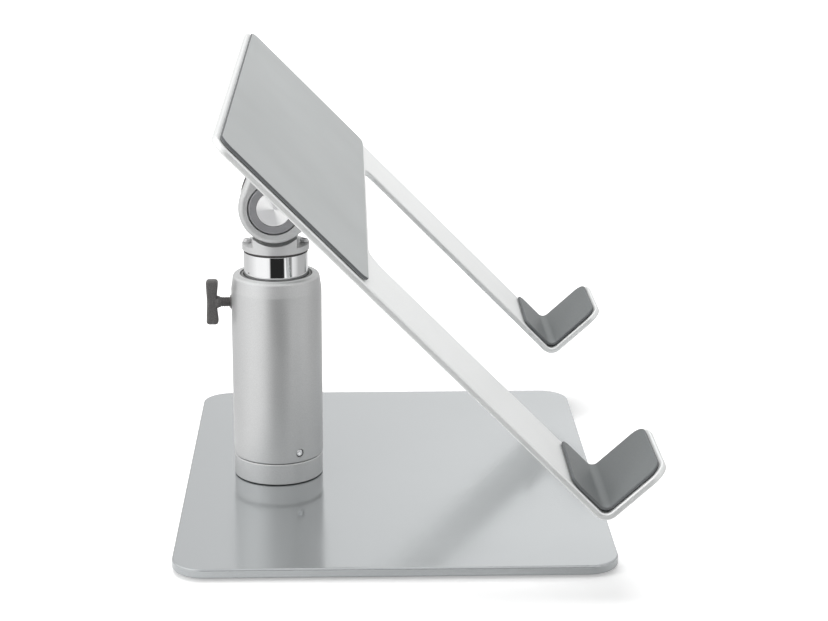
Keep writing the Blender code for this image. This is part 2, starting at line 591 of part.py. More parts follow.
def make_hinge_hardware(axis):
    on_x = {"parent": axis, "rotation": AXIS_X}
    ring_low = RECESS_FLOOR + GAP
    for name, ends in (("left", (-BRACKET_HALF, -ring_low)), ("right", (ring_low, BRACKET_HALF))):
        ring = ring_profile(PIN_HEAD_RADIUS + GAP, RING_OUTER, *ends, BREAK)
        add_node(f"hinge_ring_{name}", turned(ring, ROUND, hollow=True), "grey_ring", **on_x)
    washer_ends = (TONGUE_HALF + GAP, SLOT_HALF - GAP)
    for name, side in (("left", -1), ("right", 1)):
        ends = sorted(side * end for end in washer_ends)
        washer = ring_profile(PIN_RADIUS + GAP, FRICTION_WASHER_RADIUS, *ends)
        add_node(f"friction_washer_{name}", turned(washer, hollow=True), "white_nylon", **on_x)

    bolt = [(0, -PIN_FACE), (PIN_HEAD_RADIUS - BREAK, -PIN_FACE), (PIN_HEAD_RADIUS, -PIN_FACE + BREAK),
            (PIN_HEAD_RADIUS, -ring_low), (PIN_RADIUS, -ring_low), (PIN_RADIUS, NUT_RECESS_FLOOR),
            (THREAD_RADIUS, NUT_RECESS_FLOOR), (THREAD_RADIUS, THREAD_END), (0, THREAD_END)]
    add_node("hinge_bolt", turned(bolt), "turned_steel", **on_x)

    spring_pitch = SPRING_THICKNESS + SPRING_DISH + GAP
    for number in (1, 2):
        low = NUT_RECESS_FLOOR + GAP + spring_pitch * (number - 1)
        inner = THREAD_RADIUS + GAP
        spring = [(inner, low + SPRING_DISH), (SPRING_OUTER, low), (SPRING_OUTER, low + SPRING_THICKNESS),
                  (inner, low + SPRING_DISH + SPRING_THICKNESS)]
        add_node(f"disc_spring_{number}", turned(spring, hollow=True), "zinc_steel", **on_x)
    nut_low = NUT_RECESS_FLOOR + GAP + 2 * spring_pitch
    nut = [(0, THREAD_END + GAP), (THREAD_RADIUS + GAP, THREAD_END + GAP), (THREAD_RADIUS + GAP, nut_low),
           (PIN_HEAD_RADIUS, nut_low), (PIN_HEAD_RADIUS, PIN_FACE - BREAK), (PIN_HEAD_RADIUS - BREAK, PIN_FACE),
           (0, PIN_FACE)]
    add_node("hinge_nut", turned(nut), "turned_steel", **on_x)


def fold_start(height, radius):
    """Where the bend begins on the face that lies this high over the underside and bends with this radius."""
    return FOLD_LINE - (height + radius) * math.tan(FOLD_ANGLE / 2)


def lip_end(height, radius):
    """How far along that face the lip's tip lies."""
    straight = LIP_HEIGHT - (height + radius) * math.tan(FOLD_ANGLE / 2)
    return fold_start(height, radius) + radius * FOLD_ANGLE + straight


def fold(along, height, radius):
    """Place in (s, n) of a point that lies this far along the face."""
    past = along - fold_start(height, radius)
    turn = min(max(past, 0) / radius, FOLD_ANGLE)
    straight = past - turn * radius
    s = along - past + radius * math.sin(turn) + straight * math.cos(turn)
    n = TRAY_UNDERSIDE + height + radius * (1 - math.cos(turn)) + straight * math.sin(turn)
    return s, n


def folded_sheet(outline, strips, height, radius, inset, corner):
    """A flat outline of (x, s) points, with a hook folded up at the lower end of each strip."""
    bm = bmesh.new()
    start = fold_start(height, radius)
    flat = [bm.verts.new((x, -s, TRAY_UNDERSIDE + height)) for x, s in outline]
    bm.faces.new(flat)
    for left, right in strips:
        previous = [next(v for v in flat if abs(v.co.x - x) < 0.01 and abs(v.co.y + start) < 0.01)
                    for x in (left, right)]
        for step in range(1, FOLD_STEPS + 1):
            lip_start = start + radius * FOLD_ANGLE * step / FOLD_STEPS
            s, n = fold(lip_start, height, radius)
            current = [bm.verts.new((x, -s, n)) for x in (left, right)]
            bm.faces.new([previous[0], previous[1], current[1], current[0]])
            previous = current
        tip = lip_end(height, radius) - inset
        lip = rounded([(left, lip_start, 0), (right, lip_start, 0), (right, tip, corner), (left, tip, corner)])
        upper = []
        for x, along in lip[2:]:
            s, n = fold(along, height, radius)
            upper.append(bm.verts.new((x, -s, n)))
        bm.faces.new([*previous, *upper])
    return bm


def thicken(item, thickness, edge, side):
    """Give a sheet its thickness, on its upper side (1) or under it (-1)."""
    solidify = item.modifiers.new("thickness", "SOLIDIFY")
    solidify.thickness = thickness * MM
    solidify.offset = side
    solidify.use_even_offset = True
    round_edges(item, edge, segments=1)


def make_tray(axis):
    """The sheet's upper face is drawn flat with its folded hooks, and thickened downwards."""
    start = fold_start(SHEET, FOLD_RADIUS)
    outline = rounded([
        (-TRAY_HALF, TRAY_UPPER_END, TRAY_CORNER), (-TRAY_HALF, start, 0), (-WINDOW_HALF, start, 0),
        (-WINDOW_HALF, WINDOW_START, WINDOW_CORNER), (WINDOW_HALF, WINDOW_START, WINDOW_CORNER),
        (WINDOW_HALF, start, 0), (TRAY_HALF, start, 0), (TRAY_HALF, TRAY_UPPER_END, TRAY_CORNER)])
    strips = ((-TRAY_HALF, -WINDOW_HALF), (WINDOW_HALF, TRAY_HALF))
    bm = folded_sheet(outline, strips, SHEET, FOLD_RADIUS, 0, LIP_CORNER)
    tray = add_node("tray_plate", bm, "tray_silver", parent=axis)
    thicken(tray, SHEET, SHEET_EDGE, -1)

    head = TRAY_UNDERSIDE + SHEET - GAP
    bracket = bpy.data.objects["tilt_bracket"]
    places = [(x, -s, 0) for s in BRACKET_SCREW_S for x in (-BRACKET_SCREW_X, BRACKET_SCREW_X)]
    for number, place in enumerate(places, 1):
        sink = turned(sink_profile(BRACKET_SCREW_HEAD, BRACKET_SCREW_RADIUS, head, BRACKET_SCREW_END - GAP))
        tool = add_tool(f"bracket_screw_hole_{number}", sink, parent=axis, location=place)
        combine(tray, tool)
        combine(bracket, tool)
        profile = screw_profile(BRACKET_SCREW_HEAD, BRACKET_SCREW_RADIUS, head, BRACKET_SCREW_END)
        screw = add_node(f"bracket_screw_{number}", turned(profile), "zinc_steel", parent=axis, location=place)
        add_socket(screw, head, -1, place, axis)


def make_tray_pads(axis):
    low = TRAY_UNDERSIDE + SHEET + GAP
    half = TRAY_HALF - PAD_INSET
    upper = -(TRAY_UPPER_END + PAD_INSET)
    outline = rounded([(-half, -PAD_LOWER_END, PAD_CORNER), (half, -PAD_LOWER_END, PAD_CORNER),
                       (half, upper, TRAY_CORNER - PAD_INSET), (-half, upper, TRAY_CORNER - PAD_INSET)])
    pad = add_node("tray_pad", prism(outline, low, low + PAD_THICKNESS), "pad_rubber", parent=axis)
    round_edges(pad, PAD_EDGE, segments=1)

    start = fold_start(SHEET + GAP, PAD_FOLD_RADIUS)
    for name, near, far in (("left", -TRAY_HALF, -WINDOW_HALF), ("right", WINDOW_HALF, TRAY_HALF)):
        left = near + HOOK_PAD_INSET
        right = far - HOOK_PAD_INSET
        outline = rounded([(left, HOOK_PAD_START, HOOK_PAD_CORNER), (left, start, 0), (right, start, 0),
                           (right, HOOK_PAD_START, HOOK_PAD_CORNER)])
        bm = folded_sheet(outline, ((left, right),), SHEET + GAP, PAD_FOLD_RADIUS, HOOK_PAD_INSET,
                          LIP_CORNER - HOOK_PAD_INSET)
        hook_pad = add_node(f"hook_pad_{name}", bm, "hook_rubber", parent=axis)
        thicken(hook_pad, PAD_THICKNESS, PAD_EDGE, 1)


def main():
    clear_scene()
    make_base_plate()
    make_feet()
    make_swivel()
    column_axis = add_axis("column_swivel_axis", (0, 0, 0))
    make_column(column_axis)
    clamp_axis = add_axis("clamp_axis", (0, 0, CLAMP_Z), parent=column_axis)
    make_clamp(clamp_axis)
    mast_axis = add_axis("mast_axis", (0, 0, 0), parent=column_axis)
    make_mast(mast_axis)
    tilt_axis = add_axis("tray_tilt_axis", (0, 0, HINGE_Z), (TILT, 0, 0), mast_axis)
    make_bracket(tilt_axis)
    make_hinge_hardware(tilt_axis)
    make_tray(tilt_axis)
    make_tray_pads(tilt_axis)


main()
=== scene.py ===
"""Laptop stand: the finished look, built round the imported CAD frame.

The axes are the frame's own: +Z up, -Y towards the user, the origin on the desk under the column. The camera
stands on the stand's left, at -X, and looks along +X. Shapes are made in millimetres, each in the axes of the
place it is put, and to_object turns them into metres.
"""

import json
import math

import bmesh
import bpy
from mathutils import Matrix, Vector


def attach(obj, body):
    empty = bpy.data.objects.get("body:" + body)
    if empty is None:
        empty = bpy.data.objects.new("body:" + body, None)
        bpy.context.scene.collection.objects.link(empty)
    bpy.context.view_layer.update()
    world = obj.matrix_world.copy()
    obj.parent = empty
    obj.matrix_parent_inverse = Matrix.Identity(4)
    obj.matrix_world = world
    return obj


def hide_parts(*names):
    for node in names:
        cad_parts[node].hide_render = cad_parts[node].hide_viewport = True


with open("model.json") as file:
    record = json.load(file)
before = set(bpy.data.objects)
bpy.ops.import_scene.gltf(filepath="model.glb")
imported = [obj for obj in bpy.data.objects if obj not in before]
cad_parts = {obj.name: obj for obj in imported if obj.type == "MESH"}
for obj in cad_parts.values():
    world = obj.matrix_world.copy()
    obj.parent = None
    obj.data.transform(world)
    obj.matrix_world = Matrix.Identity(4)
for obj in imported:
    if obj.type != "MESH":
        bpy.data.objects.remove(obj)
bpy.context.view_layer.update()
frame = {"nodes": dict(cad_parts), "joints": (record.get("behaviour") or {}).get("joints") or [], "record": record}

MM = 0.001
GAP = 0.3                      # clearance between neighbouring pieces
ROUND = 144                    # facets round the column and the other large turned pieces
MEDIUM_ROUND = 96              # facets round the feet and the hinge's parts
SMALL_ROUND = 48               # facets round screws and washers
OVERCUT = 2.0                  # how far a cutting shape runs past the face it opens
TOLERANCE = 0.01               # how closely two heights or radii have to match
SMOOTH_ANGLE = math.radians(32)
JOINTS = {joint["name"]: joint for joint in frame["joints"]}
HINGE = Vector(JOINTS["tray_tilt"]["pos_m"])
TILT = -math.radians(JOINTS["tray_tilt"]["range_deg"][0])
CLAMP_CENTRE = Vector((0, 0, JOINTS["clamp_turn"]["pos_m"][2]))

# Places: a piece made along its own Z axis lies along the tilt axis, the clamp screw or straight up
UPRIGHT = Matrix.Identity(4)
TILT_AXIS = Matrix.Translation(HINGE) @ Matrix.Rotation(math.pi / 2, 4, "Y")
CLAMP_AXIS = Matrix.Translation(CLAMP_CENTRE) @ Matrix.Rotation(-math.pi / 2, 4, "X")
# On the tray, y runs up the slope and z is the height over the hinge's axis
TRAY_PLANE = Matrix.Translation(HINGE) @ Matrix.Rotation(TILT, 4, "X")
# Stands an outline up: its x runs along Y, its y along Z, and it is extruded along X
ON_EDGE = Matrix(((0, 0, 1, 0), (1, 0, 0, 0), (0, 1, 0, 0), (0, 0, 0, 1)))


def span(node, place=UPRIGHT):
    """Lowest and highest corners of a CAD node in the axes of a place, in millimetres."""
    back = place.inverted()
    points = [(back @ vert.co) / MM for vert in frame["nodes"][node].data.vertices]
    low = Vector([min(point[i] for point in points) for i in range(3)])
    high = Vector([max(point[i] for point in points) for i in range(3)])
    return low, high


# ---------------------------------------------------------------- materials

class Paint:
    """A node material under construction: a Principled shader, and helpers that feed it patterns."""

    def __init__(self, name, colour, metallic, roughness):
        self.material = bpy.data.materials.new(name)
        self.material.use_nodes = True
        self.nodes = self.material.node_tree.nodes
        self.links = self.material.node_tree.links
        self.shader = self.nodes["Principled BSDF"]
        self.colour = colour
        self.set("Base Color", (*colour, 1.0))
        self.set("Metallic", metallic)
        self.set("Roughness", roughness)
        self.height = None

    def set(self, socket, value):
        """Set a constant on the shader's own socket."""
        self.shader.inputs[socket].default_value = value

    def add(self, kind, **inputs):
        """A node whose named inputs are linked to sockets or set to values."""
        node = self.nodes.new(kind)
        for name, value in inputs.items():
            socket = node.inputs[name.replace("_", " ")]
            if isinstance(value, bpy.types.NodeSocket):
                self.links.new(value, socket)
            else:
                socket.default_value = value
        return node

    def math(self, operation, *values):
        node = self.nodes.new("ShaderNodeMath")
        node.operation = operation
        for socket, value in zip(node.inputs, values):
            if isinstance(value, bpy.types.NodeSocket):
                self.links.new(value, socket)
            else:
                socket.default_value = value
        return node.outputs["Value"]

    def coordinates(self, stretch=(1, 1, 1)):
        place = self.nodes.new("ShaderNodeTexCoord")
        mapping = self.add("ShaderNodeMapping", Vector=place.outputs["Object"], Scale=stretch)
        return mapping.outputs["Vector"]

    def noise(self, scale, detail=3.0, roughness=0.5, stretch=(1, 1, 1)):
        node = self.add("ShaderNodeTexNoise", Vector=self.coordinates(stretch), Scale=scale, Detail=detail,
                        Roughness=roughness)
        return node.outputs["Fac"]

    def ramp(self, source, low, high, start=0.0, end=1.0):
        """Carry a pattern from (start, end) to (low, high), numbers or colours."""
        if isinstance(low, tuple):
            node = self.nodes.new("ShaderNodeValToRGB")
            self.links.new(source, node.inputs["Fac"])
            node.color_ramp.elements[0].position = start
            node.color_ramp.elements[0].color = (*low, 1.0)
            node.color_ramp.elements[1].position = end
            node.color_ramp.elements[1].color = (*high, 1.0)
            return node.outputs["Color"]
        node = self.nodes.new("ShaderNodeMapRange")
        self.links.new(source, node.inputs["Value"])
        for socket, value in zip(("From Min", "From Max", "To Min", "To Max"), (start, end, low, high)):
            node.inputs[socket].default_value = value
        return node.outputs["Result"]

    def vary_colour(self, source, amount, start=0.3, end=0.7):
        darker = tuple(c * (1 - amount) for c in self.colour)
        lighter = tuple(min(1.0, c * (1 + amount)) for c in self.colour)
        self.links.new(self.ramp(source, darker, lighter, start, end), self.shader.inputs["Base Color"])

    def vary_roughness(self, source, low, high, start=0.3, end=0.7):
        self.links.new(self.ramp(source, low, high, start, end), self.shader.inputs["Roughness"])

    def bump(self, source, distance, strength=1.0):
        inputs = {"Height": source, "Distance": distance, "Strength": strength}
        if self.height is not None:
            inputs["Normal"] = self.height
        node = self.add("ShaderNodeBump", **inputs)
        self.height = node.outputs["Normal"]
        self.links.new(self.height, self.shader.inputs["Normal"])


def metallic_paint(name, colour, roughness, metallic):
    """Silver paint: fine metallic flakes, a faint orange peel and slow changes of gloss."""
    paint = Paint(name, colour, metallic, roughness)
    flake = 0.06
    flakes = paint.noise(2600, 2.0, 0.7)
    paint.vary_colour(flakes, flake, 0.35, 0.65)
    paint.vary_roughness(paint.noise(60, 3.0), roughness - 0.03, roughness + 0.04)
    paint.bump(paint.noise(900, 2.0), 0.00002, 0.25)
    paint.bump(flakes, 0.00001, 0.25)
    return paint.material


def plate_lacquer():
    """The base plate: smoother silver lacquer, with a soft reflection."""
    paint = Paint("plate_lacquer", (0.535, 0.555, 0.565), 0.92, 0.14)
    paint.vary_colour(paint.noise(1800, 2.0, 0.7), 0.02)
    paint.vary_roughness(paint.noise(25, 4.0), 0.12, 0.17)
    paint.bump(paint.noise(700, 3.0), 0.00001, 0.15)
    return paint.material


def chrome():
    """Mirror chrome with faint wipe marks along the mast."""
    paint = Paint("chrome_plate", (0.93, 0.935, 0.94), 1.0, 0.04)
    paint.vary_roughness(paint.noise(120, 3.0, 0.6, (1, 1, 0.15)), 0.03, 0.07)
    paint.bump(paint.noise(300, 2.0), 0.000004, 0.1)
    return paint.material


# Painted highlight on the pin's faces: the base colour runs from the dark level to the bright one in two wedges
# round the axis.
PAINTED_WEDGE_TURN = 0.3                 # radians by which the wedges are turned round the pin
PAINTED_WEDGE_DARK = (0.66, 0.66, 0.67)
PAINTED_WEDGE_HIGHLIGHT = (1.0, 1.0, 1.0)


def turned_steel(name, axis):
    """Faced-off steel: the highlight fans out across concentric tool marks, as on any turned end."""
    paint = Paint(name, (0.95, 0.95, 0.955), 1.0, 0.62)
    paint.set("Anisotropic", 0.9)
    paint.set("Anisotropic Rotation", 0.25)
    tangent = paint.nodes.new("ShaderNodeTangent")
    tangent.direction_type = "RADIAL"
    tangent.axis = axis
    paint.links.new(tangent.outputs["Tangent"], paint.shader.inputs["Tangent"])
    paint.vary_roughness(paint.noise(800, 3.0), 0.58, 0.66)
    return paint


def turned_pin():
    """The pin's faced-off ends: two broad bright wedges, painted highlights drawn in the base colour, fan out from
    the centre mark.
    """
    paint = turned_steel("turned_pin", "X")
    paint.set("Metallic", 0.3)
    place = paint.nodes.new("ShaderNodeTexCoord")
    split = paint.add("ShaderNodeSeparateXYZ", Vector=place.outputs["Object"])
    rise = paint.math("SUBTRACT", split.outputs["Z"], HINGE.z)
    around = paint.math("ARCTAN2", rise, split.outputs["Y"])
    # Painted highlight: two bright wedges round the axis, drawn into the base colour.
    fan = paint.math("SINE", paint.math("MULTIPLY_ADD", around, 2.0, PAINTED_WEDGE_TURN))
    paint.links.new(paint.ramp(fan, PAINTED_WEDGE_DARK, PAINTED_WEDGE_HIGHLIGHT, 0.0, 1.0), paint.shader.inputs["Base Color"])
    return paint.material


def grained_metal(name, colour, roughness, grain, metallic=1.0):
    """Plated or blackened steel with a fine cast grain."""
    paint = Paint(name, colour, metallic, roughness)
    speck = paint.noise(1500, 5.0, 0.7)
    paint.vary_colour(speck, grain)
    paint.vary_roughness(paint.noise(300, 4.0), roughness - 0.06, roughness + 0.1)
    paint.bump(speck, 0.00006, 0.5)
    return paint.material


def sheet_finish():
    """The tray: light silver sheet with a very fine, even grain."""
    paint = Paint("tray_sheet", (0.90, 0.91, 0.905), 0.6, 0.42)
    grain = paint.noise(2400, 3.0, 0.75)
    paint.vary_colour(grain, 0.035, 0.35, 0.65)
    paint.vary_roughness(paint.noise(90, 3.0), 0.38, 0.46)
    paint.bump(grain, 0.00002, 0.3)
    return paint.material


def rubber(name, colour, roughness, speck=0.05, relief=0.00003):
    """Matt rubber sheet: fine pitted skin and slow, faint changes of tone."""
    paint = Paint(name, colour, 0.0, roughness)
    paint.set("Specular IOR Level", 0.35)
    paint.set("Sheen Weight", 0.05)
    pits = paint.noise(1900, 4.0, 0.7)
    paint.vary_colour(paint.noise(14, 3.0), speck)
    paint.vary_roughness(pits, roughness - 0.08, roughness + 0.08)
    paint.bump(pits, relief, 0.6)
    return paint.material


def nylon(name, colour):
    """Moulded nylon: soft gloss with a faint skin."""
    paint = Paint(name, colour, 0.0, 0.42)
    paint.vary_colour(paint.noise(200, 3.0), 0.03)
    paint.vary_roughness(paint.noise(700, 3.0), 0.36, 0.5)
    paint.bump(paint.noise(1200, 2.0), 0.00001, 0.3)
    return paint.material


def make_materials():
    return {
        "plate_silver": plate_lacquer(),
        "silver_paint": metallic_paint("column_paint", (0.69, 0.695, 0.695), 0.41, 0.78),
        "hinge_paint": metallic_paint("hinge_paint", (0.67, 0.675, 0.675), 0.44, 0.66),
        "tray_silver": sheet_finish(),
        "chrome": chrome(),
        "turned_steel": turned_steel("turned_steel", "Z").material,
        "turned_pin": turned_pin(),
        "zinc_steel": grained_metal("zinc_plate", (0.62, 0.63, 0.65), 0.35, 0.08),
        # dark_steel is the blackened steel of the clamp insert and the thumb screw, and also the painted shade on
        # the mast's neck and in the bracket's recesses.
        "dark_steel": grained_metal("blackened_steel_and_painted_shade", (0.155, 0.15, 0.148), 0.5, 0.35, 0.6),
        "grey_ring": grained_metal("grey_satin", (0.36, 0.36, 0.375), 0.32, 0.04, 0.5),
        "pad_rubber": rubber("pad_rubber", (0.43, 0.445, 0.445), 0.7),
        "hook_rubber": rubber("hook_rubber", (0.145, 0.155, 0.157), 0.5),
        "pad_rim": rubber("pad_rim", (0.13, 0.135, 0.14), 0.8),
        "foot_rubber": rubber("foot_rubber", (0.03, 0.03, 0.032), 0.8),
        "white_nylon": nylon("natural_nylon", (0.74, 0.74, 0.71)),
        "grey_nylon": nylon("grey_nylon", (0.16, 0.16, 0.16)),
    }


# ---------------------------------------------------------------- shapes

def arc(centre, radius, start, end, steps):
    """Points from one angle to another, both ends included."""
    turn = (end - start) / steps
    return [
        (centre[0] + radius * math.cos(start + turn * i), centre[1] + radius * math.sin(start + turn * i))
        for i in range(steps + 1)
    ]


def rounded(corners, steps=12):
    """Outline through corners given as (x, y, radius), with an arc at each corner that has a radius."""
    outline = []
    for i, (x, y, radius) in enumerate(corners):
        if radius == 0:
            outline.append((x, y))
            continue
        here = Vector((x, y))
        back = (Vector(corners[i - 1][:2]) - here).normalized()
        ahead = (Vector(corners[(i + 1) % len(corners)][:2]) - here).normalized()
        half = back.angle(ahead) / 2
        middle = here + (back + ahead).normalized() * (radius / math.sin(half))
        first = here + back * (radius / math.tan(half)) - middle
        last = here + ahead * (radius / math.tan(half)) - middle
        start = math.atan2(first.y, first.x)
        outline += arc(middle, radius, start, start - first.angle_signed(last), steps)
    return outline


def prism(outline, low, high):
    bm = bmesh.new()
    face = bm.faces.new([bm.verts.new((x, y, low)) for x, y in outline])
    extruded = bmesh.ops.extrude_face_region(bm, geom=[face])
    top = [item for item in extruded["geom"] if isinstance(item, bmesh.types.BMVert)]
    bmesh.ops.translate(bm, vec=(0, 0, high - low), verts=top)
    return bm


def box(low, high):
    outline = [(low[0], low[1]), (high[0], low[1]), (high[0], high[1]), (low[0], high[1])]
    return prism(outline, low[2], high[2])


def hexagon(radius):
    return arc((0, 0), radius, 0, 5 * math.pi / 3, 5)


def turned(profile, facets=ROUND, hollow=False):
    """Spin a profile of (radius, height) points about Z; a hollow profile is a closed loop."""
    bm = bmesh.new()
    rings = []
    for radius, height in profile:
        count = facets if radius > 0 else 1
        angles = [2 * math.pi * i / facets for i in range(count)]
        rings.append([bm.verts.new((radius * math.cos(a), radius * math.sin(a), height)) for a in angles])
    pairs = list(zip(rings, rings[1:] + rings[:1]))
    if not hollow:
        pairs.pop()
    for first, second in pairs:
        for i in range(facets):
            j = (i + 1) % facets
            corners = [first[i % len(first)], first[j % len(first)]]
            corners += [second[j % len(second)], second[i % len(second)]]
            unique = list(dict.fromkeys(corners))
            if len(unique) > 2:
                bm.faces.new(unique)
    return bm


def rod(radius, low, high, edge=0.0, steps=3):
    """Profile of a solid rod, with rounded ends if an edge radius is given."""
    ends = [(0, low, 0), (radius, low, edge), (radius, high, edge), (0, high, 0)]
    return rounded(ends, steps)


def ring(inner, outer, low, high, edge, steps=3):
    """Closed profile of a washer or a tube with rounded outer edges."""
    return rounded([(inner, low, 0), (outer, low, edge), (outer, high, edge), (inner, high, 0)], steps)


def threaded(radius, depth, pitch, low, high):
    """A rod with a thread cut into it, which runs out over one turn at each end."""
    steps = 12
    count = round((high - low) / pitch * steps)
    bm = bmesh.new()
    rings = []
    for i in range(count + 1):
        z = low + (high - low) * i / count
        cut = depth * min(1.0, (z - low) / pitch, (high - z) / pitch)
        verts = []
        for k in range(SMALL_ROUND):
            turn = k / SMALL_ROUND
            flank = abs(2 * ((z / pitch - turn) % 1.0) - 1)
            r = radius - cut * flank
            angle = 2 * math.pi * turn
            verts.append(bm.verts.new((r * math.cos(angle), r * math.sin(angle), z)))
        rings.append(verts)
    for first, second in zip(rings, rings[1:]):
        for k in range(SMALL_ROUND):
            j = (k + 1) % SMALL_ROUND
            bm.faces.new((first[k], first[j], second[j], second[k]))
    bm.faces.new(rings[0][::-1])
    bm.faces.new(rings[-1])
    return bm


def to_object(name, bm, place=UPRIGHT):
    """A closed body, or a sheet that faces up its own Z axis, as an object in metres."""
    bmesh.ops.recalc_face_normals(bm, faces=bm.faces)
    bm.faces.ensure_lookup_table()
    is_sheet = any(edge.is_boundary for edge in bm.edges)
    if is_sheet and bm.faces[0].normal.z < 0:
        bmesh.ops.reverse_faces(bm, faces=bm.faces)
    bmesh.ops.scale(bm, vec=(MM, MM, MM), verts=bm.verts)
    mesh = bpy.data.meshes.new(name)
    bm.to_mesh(mesh)
    bm.free()
    item = bpy.data.objects.new(name, mesh)
    bpy.context.scene.collection.objects.link(item)
    item.matrix_world = place
    return item


def apply_modifiers(item):
    """Keep what the modifiers make as the piece's own mesh."""
    bpy.context.view_layer.update()
    shape = bpy.data.meshes.new_from_object(item.evaluated_get(bpy.context.evaluated_depsgraph_get()))
    item.modifiers.clear()
    item.data = shape


def cut(item, bm, place=None, operation="DIFFERENCE"):
    """Cut a shape out of the piece, or join it on."""
    tool = to_object("tool", bm, item.matrix_world.copy() if place is None else place)
    boolean = item.modifiers.new("cut", "BOOLEAN")
    boolean.operation = operation
    boolean.solver = "EXACT"
    boolean.object = tool
    apply_modifiers(item)
    bpy.data.objects.remove(tool)


def soften(item, width, segments=3, by_weight=False, angle=40, clamp=True):
    """Round the piece's sharp edges."""
    bevel = item.modifiers.new("edges", "BEVEL")
    bevel.width = width * MM
    bevel.segments = segments
    bevel.limit_method = "WEIGHT" if by_weight else "ANGLE"
    bevel.angle_limit = math.radians(angle)
    bevel.use_clamp_overlap = clamp
    apply_modifiers(item)


def thicken(item, thickness, side):
    """Give a sheet its thickness, on its upper side (1) or under it (-1); the rim takes the next material."""
    solidify = item.modifiers.new("thickness", "SOLIDIFY")
    solidify.thickness = thickness * MM
    solidify.offset = side
    solidify.use_even_offset = True
    solidify.material_offset_rim = len(item.data.materials) - 1
    apply_modifiers(item)


def paint_faces(item, material, test):
    """Give the faces whose centre, in the piece's own millimetres, passes the test a second material."""
    item.data.materials.append(MATERIALS[material])
    for face in item.data.polygons:
        if test(face.center / MM):
            face.material_index = len(item.data.materials) - 1


def finish_piece(item, slot, body, *replaced):
    """Shade, paint and place a piece, and let it stand for its CAD nodes."""
    item.data.shade_smooth()
    item.data.set_sharp_from_angle(angle=SMOOTH_ANGLE)
    if not item.data.materials:
        item.data.materials.append(MATERIALS[slot])
    normals = item.modifiers.new("normals", "WEIGHTED_NORMAL")
    normals.keep_sharp = True
    apply_modifiers(item)
    item.data.transform(item.matrix_world)
    item.matrix_world = UPRIGHT
    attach(item, body)
    if replaced:
        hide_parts(*replaced)


# ---------------------------------------------------------------- base and swivel

PLATE_CORNER = 15.0
PLATE_EDGE = 0.9
FOOT_EDGE = 0.3
COLLAR_BORE = 16.0
BOLT_HOLE = 5.3
COLLAR_TOP_EDGE = 0.7
COLLAR_BOTTOM_EDGE = 0.5


def make_base_plate():
    low, high = span("base_plate")
    corners = [(low.x, low.y), (high.x, low.y), (high.x, high.y), (low.x, high.y)]
    outline = rounded([(x, y, PLATE_CORNER) for x, y in corners], 24)
    plate = to_object("plate", prism(outline, low.z, high.z))
    soften(plate, PLATE_EDGE, 5)
    finish_piece(plate, "plate_silver", "base", "base_plate")


def make_feet():
    for node in ("foot_front_left", "foot_front_right", "foot_rear_left", "foot_rear_right", "centre_pad"):
        low, high = span(node)
        middle = (low + high) / 2 * MM
        radius = (high.x - low.x) / 2
        disc = turned(rod(radius, low.z, high.z, FOOT_EDGE), MEDIUM_ROUND)
        foot = to_object(node + "_disc", disc, Matrix.Translation((middle.x, middle.y, 0)))
        finish_piece(foot, "foot_rubber", "base", node)


def make_collar():
    low, high = span("swivel_collar")
    radius = high.x
    floor = span("thrust_washer")[0].z - GAP
    profile = [(BOLT_HOLE, low.z, 0), (radius, low.z, COLLAR_BOTTOM_EDGE), (radius, high.z, COLLAR_TOP_EDGE),
               (COLLAR_BORE, high.z, 0), (COLLAR_BORE, floor, 0), (BOLT_HOLE, floor, 0)]
    collar = to_object("collar", turned(rounded(profile, 4), hollow=True))
    finish_piece(collar, "silver_paint", "base", "swivel_collar")


# ---------------------------------------------------------------- column

COLUMN_BORE = 17.6
COLUMN_BOTTOM_EDGE = 0.6
TAPER_HEIGHT = 7.5
TAPER_RADIUS = 20.9
TAPER_BEND = 5.0
SHOULDER_RADIUS = 1.8
HOLE_MARGIN = 1.5              # plain wall kept round a hole, so that the rest of the wall stays smooth
SOCKET_RADIUS = 1.1
SOCKET_DEPTH = 1.2
SET_SCREW_EDGE = 0.5
BUSH_BORE = 16.0
BUSH_EDGE = 0.35
SET_SCREW_ANGLE = math.radians(210)


def make_column():
    low, high = span("column_tube")
    radius = high.x
    screw_low, screw_high = span("plug_set_screw")
    insert_low, insert_high = span("clamp_insert")
    corners = [(COLUMN_BORE, low.z, 0), (radius, low.z, COLUMN_BOTTOM_EDGE)]
    for near, far in ((screw_low.z, screw_high.z), (insert_low.z, insert_high.z)):
        corners += [(radius, near - HOLE_MARGIN, 0), (radius, far + HOLE_MARGIN, 0)]
    corners += [(radius, high.z - TAPER_HEIGHT, TAPER_BEND), (TAPER_RADIUS, high.z, SHOULDER_RADIUS),
                (COLUMN_BORE, high.z, 0)]
    tube = to_object("column_shell", turned(rounded(corners, 6), hollow=True))
    insert_radius = (insert_high.z - insert_low.z) / 2
    inside, outside = COLUMN_BORE - OVERCUT, radius + OVERCUT
    cut(tube, turned(rod(insert_radius + GAP, inside, outside), SMALL_ROUND), CLAMP_AXIS)
    cut(tube, turned(rod(set_screw_radius() + GAP, inside, outside), SMALL_ROUND), set_screw_place())
    finish_piece(tube, "silver_paint", "column", "column_tube")


def set_screw_radius():
    low, high = span("plug_set_screw")
    return (high.z - low.z) / 2


def set_screw_place():
    """Along the plug's set screw, which points out of the column low on its front."""
    low, high = span("plug_set_screw")
    height = (low.z + high.z) / 2 * MM
    return (Matrix.Translation((0, 0, height)) @ Matrix.Rotation(SET_SCREW_ANGLE, 4, "Z")
            @ Matrix.Rotation(math.pi / 2, 4, "Y"))


